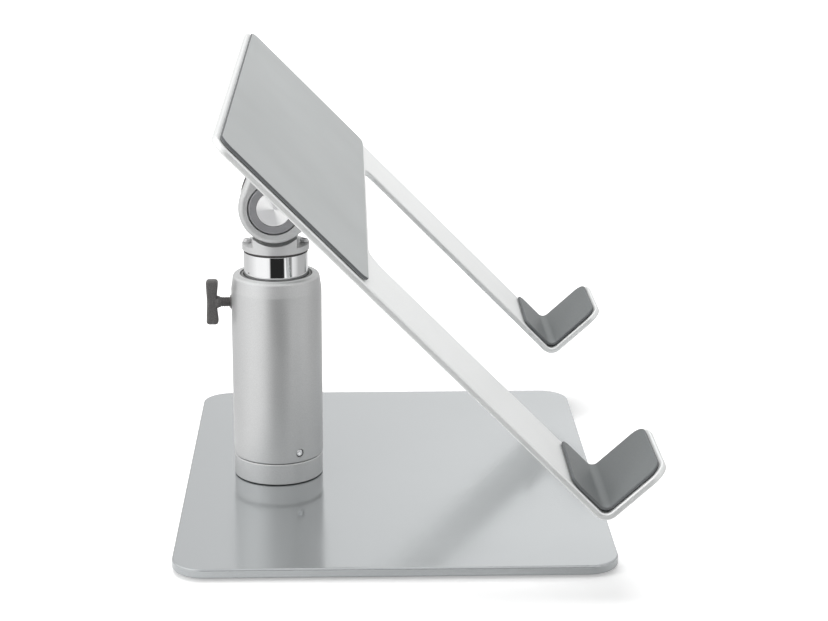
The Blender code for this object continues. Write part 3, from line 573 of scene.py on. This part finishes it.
def make_set_screw():
    place = set_screw_place()
    low, high = span("plug_set_screw", place)
    profile = rod(set_screw_radius(), low.z, high.z, SET_SCREW_EDGE)
    screw = to_object("set_screw", turned(profile, SMALL_ROUND), place)
    screw.data.materials.append(MATERIALS["chrome"])
    cut(screw, prism(hexagon(SOCKET_RADIUS), high.z - SOCKET_DEPTH, high.z + OVERCUT))
    finish_piece(screw, "turned_steel", "column", "plug_set_screw")


def make_guide_bush():
    low, high = span("guide_bush")
    profile = ring(BUSH_BORE, high.x, low.z, high.z, BUSH_EDGE)
    finish_piece(to_object("bush", turned(profile, hollow=True)), "grey_nylon", "column", "guide_bush")


# ---------------------------------------------------------------- clamp screw

CLAMP_RADIUS = 2.5
THREAD_PITCH = 0.8
THREAD_DEPTH = 0.42
SHANK_COLLAR_RADIUS = 3.0
SHANK_COLLAR_LENGTH = 1.6
SHANK_COLLAR_RIM = 0.4
SHANK_COLLAR_EDGE = 0.3
SHANK_OVERLAP = 1.0            # how far the shank runs into the bar
INSERT_EDGE = 0.2
INSERT_BORE_EDGE = 0.15
BAR_THICKNESS = 5.5            # along the screw
BAR_WAIST = 0.5                # how far the ends reach back past the middle
BAR_BEND = 8.0                 # where the back face starts to sweep back
BAR_FLAT = 3.6
BAR_END_RADIUS = 1.5
BAR_BEND_RADIUS = 5.0
BAR_FLAT_RADIUS = 3.0
BAR_FRONT_RADIUS = 30.0
BAR_EDGE = 1.1


def make_clamp_insert():
    low, high = span("clamp_insert", CLAMP_AXIS)
    radius = high.x
    bore = CLAMP_RADIUS + GAP
    profile = rounded([(bore, low.z, 0), (radius, low.z, 0), (radius, high.z, INSERT_EDGE),
                       (bore, high.z, INSERT_BORE_EDGE)], 3)
    insert = to_object("insert", turned(profile, SMALL_ROUND, hollow=True), CLAMP_AXIS)
    finish_piece(insert, "dark_steel", "column", "clamp_insert")


def make_thumb_screw():
    low, high = span("thumb_screw", CLAMP_AXIS)
    bar_start = high.z - BAR_THICKNESS
    collar_start = bar_start - SHANK_COLLAR_LENGTH
    thread = threaded(CLAMP_RADIUS, THREAD_DEPTH, THREAD_PITCH, low.z, collar_start + GAP)
    shank = to_object("thumb_screw_shank", thread, CLAMP_AXIS)
    collar_end = bar_start + SHANK_OVERLAP
    collar = rounded([(0, collar_start, 0), (CLAMP_RADIUS, collar_start, SHANK_COLLAR_EDGE),
                      (SHANK_COLLAR_RADIUS, bar_start - SHANK_COLLAR_RIM, SHANK_COLLAR_EDGE),
                      (SHANK_COLLAR_RADIUS, collar_end, 0), (0, collar_end, 0)], 3)
    cut(shank, turned(collar, SMALL_ROUND), operation="UNION")
    finish_piece(shank, "dark_steel", "thumb_screw", "thumb_screw")

    half = high.y
    thickness = high.x
    back = [(half, bar_start - BAR_WAIST, BAR_END_RADIUS),
            (BAR_BEND, bar_start - 0.7 * BAR_WAIST, BAR_BEND_RADIUS),
            (BAR_FLAT, bar_start + 0.3 * BAR_WAIST, BAR_FLAT_RADIUS)]
    mirrored = [(-along, out, radius) for along, out, radius in reversed(back)]
    front = [(-half, high.z, BAR_END_RADIUS), (0, high.z - BAR_WAIST, BAR_FRONT_RADIUS),
             (half, high.z, BAR_END_RADIUS)]
    outline = rounded([*back, *mirrored, *front], 8)
    bar = to_object("thumb_screw_bar", prism(outline, -thickness, thickness), CLAMP_AXIS @ ON_EDGE)
    soften(bar, BAR_EDGE, 5, angle=60)
    finish_piece(bar, "dark_steel", "thumb_screw")


# ---------------------------------------------------------------- mast and saddle head

MAST_EDGE = 0.4
NECK_HEIGHT = 1.0              # relief under the saddle head; its faces are painted dark, a painted shadow seen as a dark line
NECK_RADIUS = 14.6
MAST_BORE = 11.6
SHOULDER_Z = 123.2
BAND_HALF = 10.6
BAND_TOP = 128.7
SADDLE_RADIUS = 19.2           # the saddle clears the cheeks, so that a dark gap shows under them
KNUCKLE_RADIUS = 14.0
TONGUE_HALF = 6.6
PIN_RADIUS = 6.0
HEAD_EDGE = 0.3
SPIGOT_CHAMFER = 0.5
HEAD_SCREWS = ("head_screw_front", "head_screw_rear")
HEAD_SCREW_RADIUS = 1.25
HEAD_SCREW_TIP_EDGE = 0.3
HEAD_SCREW_SEAT_EDGE = 0.1
HEAD_SCREW_TOP_EDGE = 0.4
HEAD_SCREW_HOLE = HEAD_SCREW_RADIUS + GAP
HEAD_SCREW_SOCKET = 1.0        # depth of its hexagon


def drill_for_head_screws(item, top):
    """Clearance holes for the head screws, from under each screw up to a height."""
    for node in HEAD_SCREWS:
        low, high = span(node)
        middle = (low + high) / 2
        hole = turned(rod(HEAD_SCREW_HOLE, low.z - GAP, top), SMALL_ROUND)
        cut(item, hole, Matrix.Translation((0, middle.y * MM, 0)))


def make_mast():
    low, high = span("mast_tube")
    corners = [(MAST_BORE, low.z, 0), (high.x, low.z, MAST_EDGE), (high.x, high.z - NECK_HEIGHT, 0.15),
               (NECK_RADIUS, high.z - NECK_HEIGHT, 0), (NECK_RADIUS, high.z, 0), (MAST_BORE, high.z, 0)]
    mast = to_object("mast", turned(rounded(corners, 4), hollow=True))
    drill_for_head_screws(mast, high.z + OVERCUT)
    mast.data.materials.append(MATERIALS["chrome"])
    # Painted shadow: the relief's outer faces take the dark steel colour, so that the gap under the head shows as
    # a dark line.
    painted_shadow_low = high.z - NECK_HEIGHT - TOLERANCE
    paint_faces(mast, "dark_steel", lambda at: at.z > painted_shadow_low and math.hypot(at.x, at.y) > MAST_BORE + 1)
    finish_piece(mast, "chrome", "mast", "mast_tube")


def make_saddle_head():
    low, high = span("saddle_head")
    radius = high.y
    spigot = MAST_BORE - GAP
    bottom = span("mast_tube")[1].z + GAP
    hinge = HINGE.z / MM
    profile = [(0, low.z), (spigot - SPIGOT_CHAMFER, low.z), (spigot, low.z + SPIGOT_CHAMFER),
               (spigot, bottom), (radius, bottom), (radius, BAND_TOP), (0, BAND_TOP)]
    head = to_object("head", turned(profile))
    far = 2 * radius
    for near, outer in ((-far, -BAND_HALF), (BAND_HALF, far)):
        cut(head, box((-far, near, SHOULDER_Z), (far, outer, hinge)))
    cut(head, turned(rod(SADDLE_RADIUS, -far, far), 192), TILT_AXIS)

    neck = BAND_HALF - GAP
    start = -math.asin(neck / KNUCKLE_RADIUS)
    knuckle = arc((0, 0), KNUCKLE_RADIUS, start, math.pi - start, 72)
    floor = SHOULDER_Z - hinge
    tongue = prism([(-neck, floor), (neck, floor), *knuckle], -TONGUE_HALF, TONGUE_HALF)
    cut(head, tongue, Matrix.Translation(HINGE) @ ON_EDGE, "UNION")
    cut(head, turned(rod(PIN_RADIUS + GAP, -far, far), MEDIUM_ROUND), TILT_AXIS)
    drill_for_head_screws(head, BAND_TOP)
    soften(head, HEAD_EDGE, 3, angle=38)
    head.data.materials.append(MATERIALS["hinge_paint"])
    finish_piece(head, "silver_paint", "mast", "saddle_head")


def make_head_screws():
    """Socket head screws on the saddle head's shoulders."""
    for node in HEAD_SCREWS:
        low, high = span(node)
        middle = (low + high) / 2
        head_radius = (high.x - low.x) / 2
        seat = SHOULDER_Z + GAP
        profile = rounded([(0, low.z, 0), (HEAD_SCREW_RADIUS, low.z, HEAD_SCREW_TIP_EDGE),
                           (HEAD_SCREW_RADIUS, seat, 0), (head_radius, seat, HEAD_SCREW_SEAT_EDGE),
                           (head_radius, high.z, HEAD_SCREW_TOP_EDGE), (0, high.z, 0)], 3)
        place = Matrix.Translation((0, middle.y * MM, 0))
        screw = to_object(node + "_cap", turned(profile, SMALL_ROUND), place)
        cut(screw, prism(hexagon(SOCKET_RADIUS), high.z - HEAD_SCREW_SOCKET, high.z + OVERCUT))
        finish_piece(screw, "turned_steel", "mast", node)


# ---------------------------------------------------------------- tilting hinge

BRACKET_EDGE = 2.5
SLOT_HALF = 8.3
BRIDGE_THICKNESS = 4.0
RECESS_RADIUS = 12.75
RECESS_FLOOR = 15.7
RECESS_MARGIN = 0.3            # the painted shade in the recess stops this far inside the cheek's face
NUT_HOLE_RADIUS = 8.6
NUT_RECESS_FLOOR = 12.0
RING_INNER = 8.4
RING_EDGE = 0.5
RING_GROOVE = 0.1              # taken off the ring's radius, so that a fine dark groove shows round it
WASHER_EDGE = 0.15
TOOL_MARKS = 9                 # turned grooves on the pin's face
TOOL_MARK_DEPTH = 0.01
FACE_CHAMFER = 0.4
FACE_ROUNDING = 0.12
FACE_RIM = 0.6
CENTRE_MARK = 0.5
CENTRE_MARK_DEPTH = 0.3
PIN_HEAD_THICKNESS = 3.2
NUT_THREAD_RADIUS = 5.0


def tangent_angle(along, height, radius):
    """Angle, seen from the hinge, at which the line from a foot's corner touches the cheek's round end."""
    lean = math.acos(radius / math.hypot(along, height))
    return math.atan2(height, along) + (lean if along < 0 else -lean)


def make_bracket():
    low, high = span("tilt_bracket", TRAY_PLANE)
    radius = -low.z
    start = tangent_angle(low.y, high.z, radius)
    end = tangent_angle(high.y, high.z, radius)
    sweep = (end - start) % (2 * math.pi)
    outline = [*arc((0, 0), radius, start, start + sweep, 96), (high.y, high.z), (low.y, high.z)]
    bm = prism(outline, low.x, high.x)
    weights = bm.edges.layers.float.new("bevel_weight_edge")
    for edge in bm.edges:
        across = abs(edge.verts[0].co.z - edge.verts[1].co.z) > 1
        on_top = all(vert.co.y > high.z - TOLERANCE for vert in edge.verts)
        edge[weights] = 0.0 if across or on_top else 1.0
    bracket = to_object("bracket", bm, TRAY_PLANE @ ON_EDGE)
    soften(bracket, BRACKET_EDGE, 8, by_weight=True)
    beyond = 2 * high.y
    slot = box((-SLOT_HALF, -beyond, -beyond), (SLOT_HALF, beyond, high.z - BRIDGE_THICKNESS))
    cut(bracket, slot, TRAY_PLANE)
    far = high.x + 5
    cut(bracket, turned(rod(PIN_RADIUS + GAP, -far, far), MEDIUM_ROUND), TILT_AXIS)
    cut(bracket, turned(rod(NUT_HOLE_RADIUS, NUT_RECESS_FLOOR, far), MEDIUM_ROUND), TILT_AXIS)
    for near, outer in ((-far, -RECESS_FLOOR), (RECESS_FLOOR, far)):
        cut(bracket, turned(rod(RECESS_RADIUS, near, outer)), TILT_AXIS)
    bracket.data.materials.append(MATERIALS["hinge_paint"])
    # Painted shade: the recess round each ring takes the dark steel colour, so that the groove round the ring
    # shows dark.
    deep = high.x - RECESS_MARGIN

    def in_painted_shade_recess(at):
        return abs(at.x) < deep and math.hypot(at.y, at.z) < RECESS_RADIUS + TOLERANCE

    paint_faces(bracket, "dark_steel", in_painted_shade_recess)
    finish_piece(bracket, "silver_paint", "tray", "tilt_bracket")


def make_hinge_rings():
    for name in ("left", "right"):
        low, high = span(f"hinge_ring_{name}", TILT_AXIS)
        collar = turned(ring(RING_INNER, high.x - RING_GROOVE, low.z, high.z, RING_EDGE), hollow=True)
        finish_piece(to_object(f"ring_{name}", collar, TILT_AXIS), "grey_ring", "tray", f"hinge_ring_{name}")
        low, high = span(f"friction_washer_{name}", TILT_AXIS)
        washer = turned(ring(PIN_RADIUS + GAP, high.x, low.z, high.z, WASHER_EDGE), hollow=True)
        finish_piece(to_object(f"washer_{name}", washer, TILT_AXIS), "white_nylon", "tray",
                     f"friction_washer_{name}")


def turned_face(radius, height, out):
    """Profile of a faced-off end, from its rounded edge to its centre, with tool marks and a centre mark."""
    rim = radius - FACE_RIM
    pitch = (rim - CENTRE_MARK) / TOOL_MARKS
    points = [(radius, height - out * FACE_CHAMFER), (radius - FACE_ROUNDING, height - out * FACE_ROUNDING),
              (radius - FACE_CHAMFER, height)]
    for i in range(TOOL_MARKS):
        r = rim - pitch * i
        points += [(r, height), (r - pitch / 2, height - out * TOOL_MARK_DEPTH)]
    points += [(CENTRE_MARK, height), (0, height - out * CENTRE_MARK_DEPTH)]
    return points


def make_pin():
    low, high = span("hinge_bolt", TILT_AXIS)
    head = high.x
    seat = low.z + PIN_HEAD_THICKNESS
    profile = [*reversed(turned_face(head, low.z, -1)), (head, seat), (PIN_RADIUS, seat),
               (PIN_RADIUS, NUT_RECESS_FLOOR), (NUT_THREAD_RADIUS, NUT_RECESS_FLOOR),
               (NUT_THREAD_RADIUS, high.z), (0, high.z)]
    pin = to_object("pin", turned(profile, MEDIUM_ROUND), TILT_AXIS)
    pin.data.materials.append(MATERIALS["turned_pin"])
    finish_piece(pin, "turned_steel", "tray", "hinge_bolt")

    low, high = span("hinge_nut", TILT_AXIS)
    bottom = span("hinge_bolt", TILT_AXIS)[1].z + GAP
    bore = NUT_THREAD_RADIUS + GAP
    profile = [(0, bottom), (bore, bottom), (bore, low.z), (head, low.z), *turned_face(head, high.z, 1)]
    nut = to_object("pin_nut", turned(profile, MEDIUM_ROUND), TILT_AXIS)
    nut.data.materials.append(MATERIALS["turned_pin"])
    finish_piece(nut, "turned_steel", "tray", "hinge_nut")


# ---------------------------------------------------------------- tray

SHEET = 3.0
SHEET_EDGE = 0.78
WINDOW_START = 34.0            # from the hinge's axis down the slope
WINDOW_HALF = 93.0
FOLD_LINE = 179.0
FOLD_ANGLE = math.radians(87.6)
FOLD_RADIUS = 3.5
PAD_FOLD_RADIUS = 5.0          # the pad bridges the bend with an easier curve
FOLD_STEPS = 24
LIP_HEIGHT = 36.0
LIP_CORNER = 8.5
TRAY_CORNER = 8.0
WINDOW_CORNER = 9.0
PAD_THICKNESS = 1.5
PAD_INSET = 2.0
PAD_CORNER = 5.0
PAD_EDGE = 0.65
HOOK_PAD_START = 155.0
HOOK_PAD_INSET = 1.5
HOOK_PAD_CORNER = 5.0


class Fold:
    """One face of the folded sheet: how high over the underside it lies, and the radius of its bend."""

    def __init__(self, underside, height, radius):
        self.radius = radius
        self.centre = underside + height + radius
        tangent = (height + radius) * math.tan(FOLD_ANGLE / 2)
        self.start = FOLD_LINE - tangent
        self.lip = self.start + radius * FOLD_ANGLE
        self.end = self.lip + LIP_HEIGHT - tangent

    def place(self, along):
        """(s, n) of a point this far along the face."""
        turn = min(max(along - self.start, 0) / self.radius, FOLD_ANGLE)
        straight = along - self.start - turn * self.radius
        s = self.start + self.radius * math.sin(turn) + straight * math.cos(turn)
        n = self.centre - self.radius * math.cos(turn) + straight * math.sin(turn)
        return s, n


def folded_sheet(outline, strips, face, inset, corner):
    """A flat outline of (x, s) points with a hook folded up at the lower end of each strip."""
    bm = bmesh.new()
    height = face.place(0)[1]
    flat = [bm.verts.new((x, -s, height)) for x, s in outline]
    bm.faces.new(flat)
    for sides in strips:
        previous = [next(v for v in flat if math.hypot(v.co.x - x, v.co.y + face.start) < TOLERANCE)
                    for x in sides]
        for step in range(1, FOLD_STEPS + 1):
            s, n = face.place(face.start + (face.lip - face.start) * step / FOLD_STEPS)
            current = [bm.verts.new((x, -s, n)) for x in sides]
            bm.faces.new([previous[0], previous[1], current[1], current[0]])
            previous = current
        left, right = sides
        tip = face.end - inset
        lip = rounded([(left, face.lip, 0), (right, face.lip, 0), (right, tip, corner), (left, tip, corner)])
        upper = []
        for x, along in lip[2:]:
            s, n = face.place(along)
            upper.append(bm.verts.new((x, -s, n)))
        bm.faces.new([*previous, *upper])
    return bm


def make_tray():
    low, high = span("tray_plate", TRAY_PLANE)
    upper = -high.y
    face = Fold(low.z, SHEET, FOLD_RADIUS)
    outline = rounded([
        (low.x, upper, TRAY_CORNER), (low.x, face.start, 0), (-WINDOW_HALF, face.start, 0),
        (-WINDOW_HALF, WINDOW_START, WINDOW_CORNER), (WINDOW_HALF, WINDOW_START, WINDOW_CORNER),
        (WINDOW_HALF, face.start, 0), (high.x, face.start, 0), (high.x, upper, TRAY_CORNER)], 16)
    strips = ((low.x, -WINDOW_HALF), (WINDOW_HALF, high.x))
    bm = folded_sheet(outline, strips, face, 0, LIP_CORNER)
    tray = to_object("tray", bm, TRAY_PLANE)
    thicken(tray, SHEET, -1)
    soften(tray, SHEET_EDGE, 3, angle=50)
    finish_piece(tray, "tray_silver", "tray", "tray_plate")


def add_pad(name, bm, slot, node):
    """A die-cut rubber pad: its rim takes a darker rubber colour than its top."""
    pad = to_object(name, bm, TRAY_PLANE)
    pad.data.materials.append(MATERIALS[slot])
    pad.data.materials.append(MATERIALS["pad_rim"])
    thicken(pad, PAD_THICKNESS, 1)
    soften(pad, PAD_EDGE, 3, angle=50)
    finish_piece(pad, slot, "tray", node)


def make_pads():
    low, high = span("tray_pad", TRAY_PLANE)
    corner = TRAY_CORNER - PAD_INSET
    outline = rounded([(low.x, low.y, PAD_CORNER), (high.x, low.y, PAD_CORNER), (high.x, high.y, corner),
                       (low.x, high.y, corner)], 12)
    bm = bmesh.new()
    bm.faces.new([bm.verts.new((x, y, low.z)) for x, y in outline])
    add_pad("pad_sheet", bm, "pad_rubber", "tray_pad")

    underside = span("tray_plate", TRAY_PLANE)[0].z
    face = Fold(underside, SHEET + GAP, PAD_FOLD_RADIUS)
    for name in ("hook_pad_left", "hook_pad_right"):
        near, far = span(name, TRAY_PLANE)
        outline = rounded([(near.x, HOOK_PAD_START, HOOK_PAD_CORNER), (near.x, face.start, 0),
                           (far.x, face.start, 0), (far.x, HOOK_PAD_START, HOOK_PAD_CORNER)])
        bm = folded_sheet(outline, ((near.x, far.x),), face, HOOK_PAD_INSET, LIP_CORNER - HOOK_PAD_INSET)
        add_pad(name + "_sheet", bm, "hook_rubber", name)


# ---------------------------------------------------------------- stage, light and camera

# The studio as the shiny faces see it: brightness by the angle in degrees round the stand, from behind the
# camera (0) to the picture's right (90), the far side (180) and the left (270). STUDIO is the ring level with
# the stand, OVERHEAD the one above it.
STUDIO = [(0, 0.02), (30, 0.02), (34, 1.0), (46, 0.95), (49, 0.24), (58, 0.24), (63, 0.82), (76, 0.70),
          (90, 0.45), (130, 0.42), (150, 0.55), (168, 1.12), (176, 1.05), (185, 0.84), (192, 0.72),
          (210, 0.66), (240, 0.66), (262, 0.76), (290, 0.98), (328, 1.0), (338, 0.9), (343, 0.02),
          (360, 0.02)]
OVERHEAD = [(0, 0.9), (25, 0.9), (60, 0.8), (150, 0.8), (168, 1.12), (176, 1.05), (185, 0.84), (192, 0.74),
            (210, 0.76), (240, 1.1), (300, 1.3), (332, 1.0), (348, 0.9), (360, 0.9)]
FLOOR_SHADE = 0.40             # what shiny faces that look down see
OVERHEAD_RISE = (-6, 20)       # degrees of elevation over which STUDIO goes over into OVERHEAD
FLOOR_FALL = (-26, -55)        # and over which the ring goes over into the floor's shade
AMBIENT = 0.32
FLOOR_HALF = 8000
FLOOR_GLOW = (0.36, 0.80)      # glow at the stand and far from it
FLOOR_GLOW_REACH = (0.5, 1.8)  # metres
CARD_MARGIN = 28
CARD_HEIGHT = 0.2


def flat_square(low, high, height):
    bm = bmesh.new()
    corners = ((low[0], low[1]), (high[0], low[1]), (high[0], high[1]), (low[0], high[1]))
    bm.faces.new([bm.verts.new((x, y, height)) for x, y in corners])
    return bm


def make_floor():
    """White floor: it glows a little more far from the stand, so that no grey horizon shows."""
    floor = to_object("floor", flat_square((-FLOOR_HALF, -FLOOR_HALF), (FLOOR_HALF, FLOOR_HALF), 0))
    paint = Paint("floor_white", (0.93, 0.93, 0.93), 0.0, 0.9)
    paint.vary_roughness(paint.noise(2, 2.0), 0.85, 0.95)
    paint.set("Emission Color", (1.0, 1.0, 1.0, 1.0))
    place = paint.nodes.new("ShaderNodeTexCoord")
    distance = paint.nodes.new("ShaderNodeVectorMath")
    distance.operation = "LENGTH"
    paint.links.new(place.outputs["Object"], distance.inputs[0])
    glow = paint.ramp(distance.outputs["Value"], *FLOOR_GLOW, *FLOOR_GLOW_REACH)
    paint.links.new(glow, paint.shader.inputs["Emission Strength"])
    floor.data.materials.append(paint.material)
    floor.visible_glossy = False


def make_reflector():
    """White card on the desk round the base: only shiny faces see it, such as the plate's edge."""
    low, high = span("base_plate")
    margin = Vector((CARD_MARGIN, CARD_MARGIN, 0))
    card = to_object("reflector_card", flat_square(low - margin, high + margin, CARD_HEIGHT))
    paint = Paint("card_white", (0.92, 0.92, 0.92), 0.0, 0.9)
    paint.vary_roughness(paint.noise(2, 2.0), 0.85, 0.95)
    card.data.materials.append(paint.material)
    card.visible_camera = False
    card.visible_diffuse = False
    card.visible_shadow = False


def studio_ramp(nodes, links, share, levels):
    """Brightness round the studio, from (degrees, level) pairs."""
    ramp = nodes.new("ShaderNodeValToRGB")
    links.new(share, ramp.inputs["Fac"])
    elements = ramp.color_ramp.elements
    elements.remove(elements[-1])
    for i, (angle, level) in enumerate(levels):
        element = elements[0] if i == 0 else elements.new(angle / 360)
        element.position = angle / 360
        element.color = (level, level, level, 1.0)
    return ramp.outputs["Color"]


def blend_by_height(nodes, links, height, start, end, first, second):
    """Go over from the first colour to the second between two elevations in degrees."""
    share = nodes.new("ShaderNodeMapRange")
    share.interpolation_type = "SMOOTHSTEP"
    links.new(height, share.inputs["Value"])
    share.inputs["From Min"].default_value = math.sin(math.radians(start))
    share.inputs["From Max"].default_value = math.sin(math.radians(end))
    blend = nodes.new("ShaderNodeMixRGB")
    links.new(share.outputs["Result"], blend.inputs["Fac"])
    links.new(first, blend.inputs["Color1"])
    links.new(second, blend.inputs["Color2"])
    return blend.outputs["Color"]


def background(nodes, strength=1.0):
    """Plain white light."""
    shader = nodes.new("ShaderNodeBackground")
    shader.inputs["Color"].default_value = (1.0, 1.0, 1.0, 1.0)
    shader.inputs["Strength"].default_value = strength
    return shader


def choose_shader(nodes, links, share, first, second):
    """The first shader where the share is 0, the second where it is 1."""
    choice = nodes.new("ShaderNodeMixShader")
    links.new(share, choice.inputs["Fac"])
    links.new(first, choice.inputs[1])
    links.new(second, choice.inputs[2])
    return choice.outputs["Shader"]


def make_world():
    """White for the camera, plain light on matt faces, and the studio's pattern on shiny ones."""
    world = bpy.data.worlds.new("studio")
    world.use_nodes = True
    bpy.context.scene.world = world
    nodes = world.node_tree.nodes
    links = world.node_tree.links
    output = nodes["World Output"]
    nodes.remove(nodes["Background"])

    place = nodes.new("ShaderNodeTexCoord")
    split = nodes.new("ShaderNodeSeparateXYZ")
    links.new(place.outputs["Generated"], split.inputs["Vector"])
    around = nodes.new("ShaderNodeMath")
    around.operation = "ARCTAN2"
    links.new(split.outputs["Y"], around.inputs[0])
    links.new(split.outputs["X"], around.inputs[1])
    share = nodes.new("ShaderNodeMapRange")
    links.new(around.outputs["Value"], share.inputs["Value"])
    share.inputs["From Min"].default_value = -math.pi
    share.inputs["From Max"].default_value = math.pi
    low_level = studio_ramp(nodes, links, share.outputs["Result"], STUDIO)
    high_level = studio_ramp(nodes, links, share.outputs["Result"], OVERHEAD)
    shade = studio_ramp(nodes, links, share.outputs["Result"], [(0, FLOOR_SHADE)])

    height = split.outputs["Z"]
    upper = blend_by_height(nodes, links, height, *OVERHEAD_RISE, low_level, high_level)
    pattern = blend_by_height(nodes, links, height, *FLOOR_FALL, upper, shade)
    reflected = background(nodes)
    links.new(pattern, reflected.inputs["Color"])
    plain = background(nodes, AMBIENT)
    seen = background(nodes)
    path = nodes.new("ShaderNodeLightPath")
    lit = choose_shader(nodes, links, path.outputs["Is Glossy Ray"], plain.outputs["Background"],
                        reflected.outputs["Background"])
    final = choose_shader(nodes, links, path.outputs["Is Camera Ray"], lit, seen.outputs["Background"])
    links.new(final, output.inputs["Surface"])


def add_area_light(name, place, target, size, power, reflected):
    light = bpy.data.lights.new(name, "AREA")
    light.shape = "RECTANGLE"
    light.size, light.size_y = size
    light.energy = power
    item = bpy.data.objects.new(name, light)
    bpy.context.scene.collection.objects.link(item)
    item.location = place
    item.rotation_mode = "QUATERNION"
    item.rotation_quaternion = (Vector(target) - Vector(place)).to_track_quat("-Z", "Y")
    item.visible_glossy = reflected


def make_lights():
    add_area_light("overhead_box", (0.4, 0.0, 1.8), (0, 0, 0), (1.5, 1.5), 31.0, False)
    add_area_light("left_box", (-0.9, 1.4, 0.9), (0, 0, 0.1), (0.9, 1.2), 13.0, False)


CAMERA_PLACE = Vector((-0.981, -0.035, 0.368))
CAMERA_TURN = math.radians(-1.4)       # from +X towards -Y
CAMERA_DIP = math.radians(14.77)
CAMERA_LENS = 90.7
CAMERA_SHIFT = (0.02, -0.05)


def make_camera():
    camera = bpy.data.cameras.new("camera")
    item = bpy.data.objects.new("camera", camera)
    bpy.context.scene.collection.objects.link(item)
    camera.sensor_width = 36
    camera.lens = CAMERA_LENS
    camera.shift_x, camera.shift_y = CAMERA_SHIFT
    camera.clip_start = 0.01
    level = math.cos(CAMERA_DIP)
    ahead = Vector((level * math.cos(CAMERA_TURN), level * math.sin(CAMERA_TURN), -math.sin(CAMERA_DIP)))
    item.location = CAMERA_PLACE
    item.rotation_mode = "QUATERNION"
    item.rotation_quaternion = ahead.to_track_quat("-Z", "Y")
    bpy.context.scene.camera = item


# ---------------------------------------------------------------- the whole

MATERIALS = make_materials()
SLOT_OF = {part["node"]: part["material_slot"] for part in frame["record"]["subparts"]}
for node_name, node_object in frame["nodes"].items():
    node_object.data.materials.clear()
    node_object.data.materials.append(MATERIALS[SLOT_OF[node_name]])

make_camera()
make_base_plate()
make_feet()
make_collar()
make_column()
make_set_screw()
make_guide_bush()
make_clamp_insert()
make_thumb_screw()
make_mast()
make_saddle_head()
make_head_screws()
make_bracket()
make_hinge_rings()
make_pin()
make_tray()
make_pads()
make_floor()
make_reflector()
make_world()
make_lights()
bpy.context.scene.view_settings.view_transform = "Standard"
